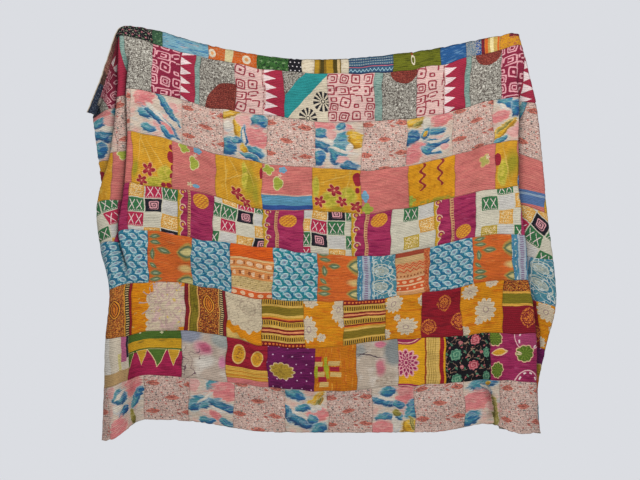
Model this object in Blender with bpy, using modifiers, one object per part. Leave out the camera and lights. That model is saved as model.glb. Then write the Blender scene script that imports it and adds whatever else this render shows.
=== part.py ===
"""A kantha quilt, hung on a wall by two points of its long top edge.

The quilt is one sheet of stitched cotton, 2.29 m by 1.50 m when flat. Its top edge sags between the two
points. At each side the cloth beyond its point falls in a long Z of three layers: the front panel ends in a
fold, the cloth goes back behind it, and an outer flap comes out again beside it.

The model is a loft. Fold lines run down the quilt, from the top edge to the hem, and each has a row of
places for every seam of the patchwork. A section at any height is a smooth curve through the fold lines.
Everything is in metres, +Z up, with the viewer at -Y. The origin is the middle of the top edge.
"""

import bmesh
import bpy
import numpy as np
from collections import namedtuple
from mathutils import Vector

NAME = "quilt_cloth"
COLLECTION = "kantha_quilt"
MILLIMETRE = 0.001
CLOTH_THICKNESS = 0.003
CLOTH_COLOUR = (0.62, 0.33, 0.22, 1.0)
CLOTH_ROUGHNESS = 0.92

# The seams of the patchwork, in millimetres down the cloth from the top edge. The first is the top edge
# and the last is the hem.
SEAMS = (0, 60, 240, 420, 600, 775, 965, 1150, 1325, 1500)
STEPS_BETWEEN_SEAMS = (2, 4, 4, 4, 4, 4, 4, 4, 4)

Place = namedtuple("Place", "across depth height")
FoldLine = namedtuple("FoldLine", "name steps places")


def places(*rows):
    """One place for each seam, in millimetres: across from the middle, back from the viewer, and up."""
    return [Place(*row) for row in rows]


# The left side, from the cut edge that hangs behind to the fold that ends the front panel.
LEFT_EDGE = places(
    (-901, -60, -208), (-878, -24, -216), (-886, 20, -227), (-857, 20, -393), (-812, 24, -566),
    (-774, 25, -739), (-747, 26, -924), (-739, 26, -1101), (-747, 26, -1274), (-770, 28, -1432))
LEFT_FLAP = places(
    (-839, -34, -42), (-824, -10, -50), (-816, 26, -189), (-808, 22, -389), (-793, 25, -574),
    (-755, 26, -747), (-689, 26, -932), (-701, 26, -1105), (-712, 24, -1274), (-801, 16, -1451))
LEFT_VALLEY = places(
    (-782, -12, 121), (-789, -2, 74), (-735, 10, -169), (-751, 10, -389), (-778, 12, -578),
    (-735, 12, -751), (-631, 12, -936), (-662, 12, -1109), (-674, 12, -1274), (-747, 4, -1424))
LEFT_RIDGE = places(
    (-766, -9, 128), (-780, -12, 89), (-793, -24, -150), (-818, -20, -370), (-870, -12, -558),
    (-857, -12, -716), (-820, -14, -889), (-834, -14, -1078), (-839, -16, -1267), (-847, -18, -1467))
LEFT_CREST = places(
    (-755, -7, 130), (-766, -12, 89), (-774, -32, -146), (-782, -36, -354), (-816, -36, -543),
    (-824, -40, -701), (-793, -44, -878), (-797, -56, -1074), (-797, -66, -1259), (-801, -74, -1461))
LEFT_TUCK = places(
    (-745, -6, 129), (-751, -9, 89), (-724, -8, -142), (-693, -12, -339), (-701, -12, -535),
    (-735, -14, -708), (-762, -26, -868), (-753, -22, -1066), (-749, -22, -1240), (-745, -22, -1421))
LEFT_PANEL = places(
    (-732, -5, 129), (-735, -9, 85), (-755, -36, -117), (-751, -44, -281), (-762, -46, -481),
    (-783, -44, -666), (-728, -30, -862), (-724, -26, -1055), (-716, -26, -1224), (-705, -26, -1394))

# The right side, from the fold that ends the front panel to the cut edge that hangs behind.
RIGHT_CREST = places(
    (693, -10, 92), (693, -14, 37), (706, -30, -152), (710, -38, -322), (710, -40, -495),
    (718, -42, -678), (735, -42, -853), (743, -56, -1055), (747, -66, -1240), (747, -76, -1438))
RIGHT_PANEL = places(
    (732, -8, 102), (732, -12, 50), (758, -32, -146), (758, -46, -316), (760, -48, -489),
    (782, -50, -678), (797, -50, -851), (824, -42, -1055), (826, -36, -1244), (832, -30, -1440))
RIGHT_TUCK = places(
    (745, -7, 102), (753, -9, 54), (743, -12, -154), (701, -12, -339), (685, -12, -531),
    (701, -12, -724), (732, -12, -897), (778, -12, -1093), (808, -14, -1259), (843, -16, -1442))
RIGHT_RIM = places(
    (760, 4, 96), (774, 7, 50), (828, 5, -173), (853, 2, -400), (872, 4, -601),
    (895, 4, -782), (903, 4, -959), (862, 4, -1124), (835, 2, -1274), (841, 0, -1444))
RIGHT_BACK = places(
    (628, 22, -35), (639, 24, -96), (697, 22, -243), (766, 20, -431), (820, 20, -616),
    (851, 20, -797), (851, 20, -982), (778, 16, -1143), (693, 12, -1282), (678, 10, -1424))
RIGHT_EDGE = places(
    (481, 26, -169), (493, 26, -227), (574, 26, -320), (689, 26, -466), (762, 26, -635),
    (812, 26, -808), (801, 26, -993), (716, 26, -1143), (743, 26, -1294), (762, 26, -1440))

# The front panel between the side folds. Each row is a seam: its height at seven places across, and how
# far back the cloth lies at its left, its middle and its right.
PANEL_ACROSS = (-624, -470, -239, -8, 223, 454, 646)
PanelSeam = namedtuple("PanelSeam", "heights left middle right")
PANEL_SEAMS = (
    PanelSeam((108, 64, 17, 0, 15, 46, 85), -6, -2, -8),
    PanelSeam((52, 10, -33, -54, -54, -19, 27), -10, -6, -12),
    PanelSeam((-133, -177, -212, -239, -237, -212, -160), -20, 8, -24),
    PanelSeam((-302, -346, -398, -420, -425, -383, -331), -28, 4, -30),
    PanelSeam((-491, -516, -576, -585, -591, -545, -502), -28, 14, -30),
    PanelSeam((-662, -693, -724, -749, -757, -716, -678), -28, 6, -30),
    PanelSeam((-859, -874, -922, -934, -924, -891, -855), -24, 15, -28),
    PanelSeam((-1045, -1051, -1101, -1113, -1086, -1074, -1053), -24, 8, -26),
    PanelSeam((-1217, -1232, -1259, -1284, -1267, -1251, -1236), -22, 12, -22),
    PanelSeam((-1390, -1401, -1436, -1440, -1440, -1436, -1407), -20, -6, -20),
)


def panel_line(index):
    """The places of one of the seven fold lines of the front panel."""
    across = PANEL_ACROSS[index]
    reach = across / PANEL_ACROSS[-1] if across > 0 else across / PANEL_ACROSS[0]
    rows = []
    for seam in PANEL_SEAMS:
        side = seam.right if across > 0 else seam.left
        depth = seam.middle + (side - seam.middle) * reach ** 2
        rows.append(Place(across, depth, seam.heights[index]))
    return rows


def fold_lines():
    """All fold lines from the left cut edge to the right one, with the mesh steps up to the next line."""
    lines = [
        FoldLine("left_edge", 2, LEFT_EDGE),
        FoldLine("left_flap", 2, LEFT_FLAP),
        FoldLine("left_valley", 4, LEFT_VALLEY),
        FoldLine("left_ridge", 3, LEFT_RIDGE),
        FoldLine("left_crest", 3, LEFT_CREST),
        FoldLine("left_tuck", 4, LEFT_TUCK),
        FoldLine("left_panel", 4, LEFT_PANEL),
    ]
    for index in range(len(PANEL_ACROSS)):
        lines.append(FoldLine("panel_%d" % index, 3, panel_line(index)))
    lines += [
        FoldLine("right_crest", 3, RIGHT_CREST),
        FoldLine("right_panel", 4, RIGHT_PANEL),
        FoldLine("right_tuck", 4, RIGHT_TUCK),
        FoldLine("right_rim", 4, RIGHT_RIM),
        FoldLine("right_back", 3, RIGHT_BACK),
        FoldLine("right_edge", 0, RIGHT_EDGE),
    ]
    return lines


def smooth_curve(knots, points, at):
    """A cubic curve through the points at their knots, read at the given values."""
    knots = np.asarray(knots, dtype=float)
    points = np.asarray(points, dtype=float)
    gaps = np.diff(knots)
    slopes = np.diff(points, axis=0) / gaps[:, None]
    tangents = np.empty_like(points)
    tangents[0] = slopes[0]
    tangents[-1] = slopes[-1]
    before = gaps[:-1, None]
    after = gaps[1:, None]
    tangents[1:-1] = (slopes[:-1] * after + slopes[1:] * before) / (before + after)
    span = np.clip(np.searchsorted(knots, at, side="right") - 1, 0, len(gaps) - 1)
    width = gaps[span]
    s = ((at - knots[span]) / width)[:, None]
    start = points[span] * (2 * s ** 3 - 3 * s ** 2 + 1) + points[span + 1] * (3 * s ** 2 - 2 * s ** 3)
    turn = tangents[span] * (s ** 3 - 2 * s ** 2 + s) + tangents[span + 1] * (s ** 3 - s ** 2)
    return start + turn * width[:, None]


def rows_down():
    """How far down the cloth each row of the mesh lies, in millimetres."""
    rows = []
    for top, bottom, steps in zip(SEAMS, SEAMS[1:], STEPS_BETWEEN_SEAMS):
        rows += [top + (bottom - top) * step / steps for step in range(steps)]
    return np.array(rows + [SEAMS[-1]])


def section(points, steps):
    """A curve across the cloth through one row of places, with each stretch in even steps."""
    points = np.asarray(points, dtype=float)
    chords = np.linalg.norm(np.diff(points, axis=0), axis=1)
    knots = np.concatenate(([0.0], np.cumsum(np.sqrt(chords))))
    fine = 24
    across = []
    for index, count in enumerate(steps):
        at = np.linspace(knots[index], knots[index + 1], fine + 1)
        curve = smooth_curve(knots, points, at)
        lengths = np.concatenate(([0.0], np.cumsum(np.linalg.norm(np.diff(curve, axis=0), axis=1))))
        wanted = np.linspace(0.0, lengths[-1], count + 1)[:-1]
        across += [[np.interp(w, lengths, curve[:, axis]) for axis in range(3)] for w in wanted]
    across.append(list(points[-1]))
    return across


def hanging_sheet():
    """The rows of points of the sheet's middle surface, in metres."""
    lines = fold_lines()
    down = rows_down()
    runs = [smooth_curve(SEAMS, line.places, down) for line in lines]
    steps = [line.steps for line in lines[:-1]]
    return [[Vector(point) * MILLIMETRE for point in section([run[row] for run in runs], steps)]
            for row in range(len(down))]


def build_sheet(collection):
    """One closed solid of the cloth, as thick as the quilt."""
    rows = hanging_sheet()
    mesh_maker = bmesh.new()
    grid = [[mesh_maker.verts.new(point) for point in row] for row in rows]
    for upper, lower in zip(grid, grid[1:]):
        for left in range(len(upper) - 1):
            mesh_maker.faces.new((upper[left], lower[left], lower[left + 1], upper[left + 1]))
    mesh = bpy.data.meshes.new(NAME)
    mesh_maker.to_mesh(mesh)
    mesh_maker.free()
    mesh.shade_smooth()
    quilt = bpy.data.objects.new(NAME, mesh)
    collection.objects.link(quilt)
    thicken = quilt.modifiers.new("thickness", "SOLIDIFY")
    thicken.thickness = CLOTH_THICKNESS
    thicken.offset = 0.0
    thicken.use_even_offset = False
    return quilt


def cloth_material():
    """Plain matt cotton in the quilt's average colour."""
    material = bpy.data.materials.new("patched_cotton")
    material.use_nodes = True
    shader = material.node_tree.nodes["Principled BSDF"]
    shader.inputs["Base Color"].default_value = CLOTH_COLOUR
    shader.inputs["Roughness"].default_value = CLOTH_ROUGHNESS
    shader.inputs["Metallic"].default_value = 0.0
    return material


def main():
    for old in list(bpy.data.objects):
        bpy.data.objects.remove(old, do_unlink=True)
    collection = bpy.data.collections.new(COLLECTION)
    bpy.context.scene.collection.children.link(collection)
    quilt = build_sheet(collection)
    quilt.data.materials.append(cloth_material())
    bpy.context.view_layer.update()


main()
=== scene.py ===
"""The looks of a kantha quilt that hangs on a wall by two points of its top edge.

The quilt is one stitched sheet of patched cotton, 2.29 m by 1.50 m when flat. The sheet here lies on the
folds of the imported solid, with finer creases, seams and puckers, and each patch has its own cotton print.

Two kinds of place are used. Places in the room are in millimetres: across from the middle of the top edge,
back from the viewer, and up. Places on the cloth are in millimetres across from its middle line and down
from its top edge, as it would lie flat.
"""

import math
from collections import namedtuple
from functools import partialmethod, reduce
from operator import add, or_

import bpy
import numpy as np
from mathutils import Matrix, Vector


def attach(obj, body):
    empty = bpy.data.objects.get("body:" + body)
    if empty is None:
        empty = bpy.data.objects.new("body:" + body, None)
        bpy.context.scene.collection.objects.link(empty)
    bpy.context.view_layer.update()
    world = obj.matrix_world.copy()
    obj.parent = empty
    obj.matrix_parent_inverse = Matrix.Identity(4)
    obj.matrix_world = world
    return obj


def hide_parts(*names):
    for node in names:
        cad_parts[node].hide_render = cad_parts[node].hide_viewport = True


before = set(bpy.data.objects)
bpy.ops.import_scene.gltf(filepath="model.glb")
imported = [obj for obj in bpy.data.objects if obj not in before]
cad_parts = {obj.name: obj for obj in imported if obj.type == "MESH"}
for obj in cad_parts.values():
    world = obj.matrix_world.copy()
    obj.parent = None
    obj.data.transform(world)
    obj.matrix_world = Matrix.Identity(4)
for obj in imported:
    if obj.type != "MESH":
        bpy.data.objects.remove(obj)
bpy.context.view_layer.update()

MILLIMETRE = 0.001

# The camera looks straight at the middle of the photograph's frame, from far enough that nearer folds
# aren't spread outward.
VIEW_WIDTH = 2.464
VIEW_MIDDLE = (-0.0077, -0.02, -0.697)
CAMERA_DISTANCE = 9.0
SENSOR_WIDTH = 36.0
FLOOR_HEIGHT = -2.02
FLOOR_HALF = 3.0

CLOTH_THICKNESS = 3.0
HEM_EXTRA = 1.6
HEM_REACH = 7.0
EDGE_WANDER = 2.5
EDGE_REACH = 10.0
CLOTH_LEFT = -1127.0
CLOTH_RIGHT = 1163.0
CLOTH_LENGTH = 1500.0
SIDE_START = 690.0
COLUMNS = (62, 136, 67)
ROWS = 184
FOLD_SOFTNESS = 5.0
SOFT_SPAN = 4

# The folds of the hanging cloth. They are the solid's, but for the left flap and its cut edge, which follow
# the photograph's shadow and outline more closely. Each fold line has one place for every seam.
SEAMS = (0, 60, 240, 420, 600, 775, 965, 1150, 1325, 1500)

LEFT_EDGE = (
    (-901, -60, -208), (-878, -24, -216), (-886, 20, -227), (-864, 18, -393), (-836, 20, -566),
    (-774, 25, -739), (-747, 26, -924), (-739, 26, -1101), (-747, 26, -1274), (-770, 28, -1432))
LEFT_FLAP = (
    (-839, -34, -42), (-824, -10, -50), (-816, -2, -189), (-812, -4, -389), (-806, 2, -574),
    (-755, 12, -747), (-689, 20, -932), (-701, 26, -1105), (-712, 24, -1274), (-801, 16, -1451))
LEFT_VALLEY = (
    (-782, -12, 121), (-789, -2, 74), (-735, 10, -169), (-751, 10, -389), (-778, 12, -578),
    (-735, 12, -751), (-631, 12, -936), (-662, 12, -1109), (-674, 12, -1274), (-747, 4, -1424))
LEFT_RIDGE = (
    (-766, -9, 128), (-780, -12, 89), (-793, -24, -150), (-818, -20, -370), (-870, -12, -558),
    (-857, -12, -716), (-820, -14, -889), (-834, -14, -1078), (-839, -16, -1267), (-847, -18, -1467))
LEFT_CREST = (
    (-755, -7, 130), (-766, -12, 89), (-774, -32, -146), (-782, -36, -354), (-816, -36, -543),
    (-824, -40, -701), (-793, -44, -878), (-797, -56, -1074), (-797, -66, -1259), (-801, -74, -1461))
LEFT_TUCK = (
    (-745, -6, 129), (-751, -9, 89), (-724, -8, -142), (-693, -12, -339), (-701, -12, -535),
    (-735, -14, -708), (-762, -26, -868), (-753, -22, -1066), (-749, -22, -1240), (-745, -22, -1421))
LEFT_PANEL = (
    (-732, -5, 129), (-735, -9, 85), (-755, -36, -117), (-751, -44, -281), (-762, -46, -481),
    (-783, -44, -666), (-728, -30, -862), (-724, -26, -1055), (-716, -26, -1224), (-705, -26, -1394))
RIGHT_CREST = (
    (693, -10, 92), (693, -14, 37), (706, -30, -152), (710, -38, -322), (710, -40, -495),
    (718, -42, -678), (735, -42, -853), (743, -56, -1055), (747, -66, -1240), (747, -76, -1438))
RIGHT_PANEL = (
    (732, -8, 102), (732, -12, 50), (758, -32, -146), (758, -46, -316), (760, -48, -489),
    (782, -50, -678), (797, -50, -851), (824, -42, -1055), (826, -36, -1244), (832, -30, -1440))
RIGHT_TUCK = (
    (745, -7, 102), (753, -9, 54), (743, -12, -154), (701, -12, -339), (685, -12, -531),
    (701, -12, -724), (732, -12, -897), (778, -12, -1093), (808, -14, -1259), (843, -16, -1442))
RIGHT_RIM = (
    (760, 4, 96), (774, 7, 50), (828, 5, -173), (853, 2, -400), (872, 4, -601),
    (895, 4, -782), (903, 4, -959), (862, 4, -1124), (835, 2, -1274), (841, 0, -1444))
RIGHT_BACK = (
    (628, 22, -35), (639, 24, -96), (697, 22, -243), (766, 20, -431), (820, 20, -616),
    (851, 20, -797), (851, 20, -982), (778, 16, -1143), (693, 12, -1282), (678, 10, -1424))
RIGHT_EDGE = (
    (481, 26, -169), (493, 26, -227), (574, 26, -320), (689, 26, -466), (762, 26, -635),
    (812, 26, -808), (801, 26, -993), (716, 26, -1143), (743, 26, -1294), (762, 26, -1440))

# The front panel. Each row is a seam: its height at seven places across, and how far back the cloth lies
# at its left, its middle and its right.
PANEL_ACROSS = (-624, -470, -239, -8, 223, 454, 646)
MIDDLE_LINE = 3
PanelSeam = namedtuple("PanelSeam", "heights left middle right")
PANEL_SEAMS = (
    PanelSeam((108, 64, 17, 0, 15, 46, 85), -6, -2, -8),
    PanelSeam((52, 10, -33, -54, -54, -19, 27), -10, -6, -12),
    PanelSeam((-133, -177, -212, -239, -237, -212, -160), -20, 8, -24),
    PanelSeam((-302, -346, -398, -420, -425, -383, -331), -28, 4, -30),
    PanelSeam((-491, -516, -576, -585, -591, -545, -502), -28, 14, -30),
    PanelSeam((-662, -693, -724, -749, -757, -716, -678), -28, 6, -30),
    PanelSeam((-859, -874, -922, -934, -924, -891, -855), -24, 15, -28),
    PanelSeam((-1045, -1051, -1101, -1113, -1086, -1074, -1053), -24, 8, -26),
    PanelSeam((-1217, -1232, -1259, -1284, -1267, -1251, -1236), -22, 12, -22),
    PanelSeam((-1390, -1401, -1436, -1440, -1440, -1436, -1407), -20, -6, -20),
)

# The cloth is measured out from its middle line. Past this distance, in the side folds, what is left over
# is spread evenly up to the cut edge.
EVEN_REACH = 750.0

# Soft creases, drawn one by one: a line on the cloth, half its width, and its height towards the viewer.
# Each bends a little to both sides, and fades towards its ends.
CREASE_BEND = 12.0
CREASE_WAVE = 5.0
CREASE_FADE = 0.3
CREASE_END = 0.25
CREASE_SCALE = 1.5
Crease = namedtuple("Crease", "across down to_across to_down width height")
CREASES = (
    (-740, 20, -560, 330, 26, 3.5), (-700, 10, -330, 250, 30, 3.0), (-730, 120, -690, 520, 22, -3.0),
    (-640, 150, -600, 600, 24, 2.5), (-690, 560, -560, 900, 26, 3.0), (-610, 880, -600, 1300, 24, -3.0),
    (-520, 360, -470, 760, 28, -2.5), (-420, 1000, -400, 1500, 30, 4.0),
    (-300, 1120, -310, 1500, 26, -3.5), (-330, 200, -290, 620, 26, 2.0), (-150, 260, -120, 700, 30, -2.0),
    (-130, 400, -115, 600, 12, 2.5), (-190, 1050, -150, 1500, 28, 3.0), (-30, 700, -20, 1150, 26, 2.0),
    (60, 1020, 40, 1500, 26, -3.0), (110, 300, 90, 760, 30, 2.0), (190, 900, 170, 1420, 26, 3.0),
    (270, 380, 300, 900, 28, -2.0), (330, 1040, 330, 1500, 26, -3.5), (420, 200, 360, 640, 26, 2.5),
    (470, 960, 450, 1500, 24, 3.5), (600, 330, 615, 620, 12, -4.0), (730, 30, 520, 350, 28, 3.5),
    (700, 20, 400, 220, 30, -2.5), (560, 600, 590, 1050, 24, 2.5), (640, 1040, 655, 1500, 18, -5.0),
    (690, 420, 700, 860, 20, 3.0), (-470, 640, 420, 700, 30, -2.0), (-560, 1000, -100, 1030, 22, -2.0),
    (100, 960, 600, 990, 22, 2.0), (-360, 1340, 380, 1352, 20, -2.5), (-480, 300, 60, 352, 26, 2.0),
    (-385, 1092, -225, 1192, 9, -5.0), (648, 1290, 654, 1500, 11, -8.0), (-366, 1110, -230, 1176, 14, 2.5),
    (-150, 1310, -120, 1400, 9, -3.0), (-545, 1260, -530, 1345, 8, -4.0), (560, 60, 640, 330, 12, -3.5),
    (-640, 80, -585, 300, 12, -3.5), (-560, 60, -470, 230, 12, -2.5),
)

# Colours as they look on a screen in soft light, in red, green and blue from 0 to 255.
CREAM = (204, 192, 168)
BLACK = (20, 18, 24)
CRIMSON = (132, 30, 58)
PINK_LINE = (218, 158, 164)
PALE_PINK = (214, 178, 170)
GREY_CLOTH = (172, 168, 156)
GREY_INK = (92, 84, 78)
RUST = (130, 54, 44)
TEAL = (38, 138, 138)
PALE_TEAL = (130, 156, 146)
SALMON = (198, 112, 104)
LIME = (156, 164, 62)
SKY = (112, 158, 182)
FLORAL = (204, 174, 160)
MARIGOLD = (200, 146, 36)
FLOWER_RED = (146, 32, 48)
MAGENTA = (158, 44, 84)
NIGHT = (18, 34, 56)
BACK_COTTON = (208, 194, 172)


def records(kind, rows):
    """The rows of a table, each as a record of this kind."""
    return [kind(*row) for row in rows]


def curve_through(knots, points, at):
    """A cubic curve through the points at their knots, read at the given values."""
    knots = np.asarray(knots, dtype=float)
    points = np.asarray(points, dtype=float)
    gaps = np.diff(knots)
    slopes = np.diff(points, axis=0) / gaps[:, None]
    tangents = np.empty_like(points)
    tangents[0] = slopes[0]
    tangents[-1] = slopes[-1]
    before = gaps[:-1, None]
    after = gaps[1:, None]
    tangents[1:-1] = (slopes[:-1] * after + slopes[1:] * before) / (before + after)
    span = np.clip(np.searchsorted(knots, at, side="right") - 1, 0, len(gaps) - 1)
    width = gaps[span]
    s = ((at - knots[span]) / width)[:, None]
    start = points[span] * (2 * s ** 3 - 3 * s ** 2 + 1) + points[span + 1] * (3 * s ** 2 - 2 * s ** 3)
    turn = tangents[span] * (s ** 3 - 2 * s ** 2 + s) + tangents[span + 1] * (s ** 3 - s ** 2)
    return start + turn * width[:, None]


def softened(points, reach):
    """A run of points, evened out over a few neighbours on both sides."""
    offsets = np.arange(-SOFT_SPAN, SOFT_SPAN + 1)
    weights = np.exp(-0.5 * (offsets / reach) ** 2)
    weights /= weights.sum()
    before = points[:1] * 2 - points[SOFT_SPAN:0:-1]
    after = points[-1:] * 2 - points[-2:-2 - SOFT_SPAN:-1]
    longer = np.concatenate([before, points, after])
    return sum(weight * longer[start:start + len(points)] for start, weight in enumerate(weights))


def panel_line(index):
    """The places of one of the seven fold lines of the front panel."""
    across = PANEL_ACROSS[index]
    reach = across / PANEL_ACROSS[-1] if across > 0 else across / PANEL_ACROSS[0]
    rows = []
    for seam in PANEL_SEAMS:
        side = seam.right if across > 0 else seam.left
        rows.append((across, seam.middle + (side - seam.middle) * reach ** 2, seam.heights[index]))
    return rows


LEFT_LINES = (LEFT_EDGE, LEFT_FLAP, LEFT_VALLEY, LEFT_RIDGE, LEFT_CREST, LEFT_TUCK, LEFT_PANEL)
RIGHT_LINES = (RIGHT_CREST, RIGHT_PANEL, RIGHT_TUCK, RIGHT_RIM, RIGHT_BACK, RIGHT_EDGE)


class HangingCloth:
    """The middle surface of the hanging cloth, read at places on the flat cloth."""

    FINE = 24
    STEP = 4.0
    JUST_INSIDE = 1.001

    def __init__(self):
        lines = LEFT_LINES + tuple(panel_line(i) for i in range(len(PANEL_ACROSS))) + RIGHT_LINES
        self.downs = np.arange(0.0, CLOTH_LENGTH + self.STEP, self.STEP)
        steps = int((CLOTH_RIGHT - CLOTH_LEFT) / self.STEP)
        self.acrosses = np.linspace(CLOTH_LEFT, CLOTH_RIGHT, steps + 1)
        heights = np.minimum(self.downs, CLOTH_LENGTH)
        runs = np.array([curve_through(SEAMS, line, heights) for line in lines])
        middle = len(LEFT_LINES) + MIDDLE_LINE
        self.table = np.array([self.section(runs[:, row], middle) for row in range(len(self.downs))])

    def section(self, points, middle):
        """One line across the cloth, at even steps of the flat cloth."""
        chords = np.linalg.norm(np.diff(points, axis=0), axis=1)
        knots = np.concatenate(([0.0], np.cumsum(np.sqrt(chords))))
        spans = [np.linspace(a, b, self.FINE + 1)[:-1] for a, b in zip(knots, knots[1:])]
        curve = curve_through(knots, points, np.concatenate(spans + [knots[-1:]]))
        arc = np.concatenate(([0.0], np.cumsum(np.linalg.norm(np.diff(curve, axis=0), axis=1))))
        arc -= arc[middle * self.FINE]
        across = arc.copy()
        for side, outside, edge, end in (
                (-EVEN_REACH, arc < -EVEN_REACH, CLOTH_LEFT, arc[0]),
                (EVEN_REACH, arc > EVEN_REACH, CLOTH_RIGHT, arc[-1])):
            across[outside] = side + (arc[outside] - side) * (edge - side) / (end - side)
        even = np.stack([np.interp(self.acrosses, across, run) for run in curve.T], axis=1)
        return softened(even, FOLD_SOFTNESS / self.STEP)

    def at(self, across, down):
        """The places in the room, in millimetres, of places on the flat cloth."""
        column = np.interp(across, self.acrosses, np.arange(len(self.acrosses)))
        column = np.clip(column, 0, len(self.acrosses) - self.JUST_INSIDE)
        row = np.clip(down / self.STEP, 0, len(self.downs) - self.JUST_INSIDE)
        i = row.astype(int)
        j = column.astype(int)
        fi = (row - i)[..., None]
        fj = (column - j)[..., None]
        upper = self.table[i, j] * (1 - fj) + self.table[i, j + 1] * fj
        lower = self.table[i + 1, j] * (1 - fj) + self.table[i + 1, j + 1] * fj
        return upper * (1 - fi) + lower * fi


def ripples(across, down, waves):
    """Smooth uneven waves, in millimetres, mostly within their size."""
    chance = np.random.default_rng(waves.seed)
    total = np.zeros_like(across)
    for _ in range(waves.count):
        u = chance.normal() / waves.across_wave
        v = chance.normal() / waves.down_wave
        total += np.sin(2 * np.pi * (u * across + v * down + chance.random()))
    return total * waves.size / math.sqrt(waves.count)


def crease_relief(across, down):
    """How far the hand-placed creases lift the cloth, in millimetres."""
    total = np.zeros_like(across)
    for crease in records(Crease, CREASES):
        start = np.array((crease.across, crease.down), dtype=float)
        way = np.array((crease.to_across, crease.to_down), dtype=float) - start
        length = np.linalg.norm(way)
        way /= length
        along = (across - start[0]) * way[0] + (down - start[1]) * way[1]
        aside = (across - start[0]) * way[1] - (down - start[1]) * way[0]
        bend = CREASE_BEND * np.sin(along / length * CREASE_WAVE + crease.across)
        fade = np.minimum(along, length - along) / (CREASE_FADE * length) + CREASE_END
        fade = np.clip(fade, 0.0, 1.0)
        trough = crease.height * np.exp(-((aside + bend) / crease.width) ** 2)
        total += trough * fade * fade * (3 - 2 * fade)
    return total


# One patch of cotton: the name of its print, where it ends across the cloth, how far its print is slid
# across and down, and how far it is turned, in degrees.
Patch = namedtuple("Patch", "print ends slide_across slide_down turn", defaults=(0, 0, 0))
PatchRow = namedtuple("PatchRow", "ends patches")

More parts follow.
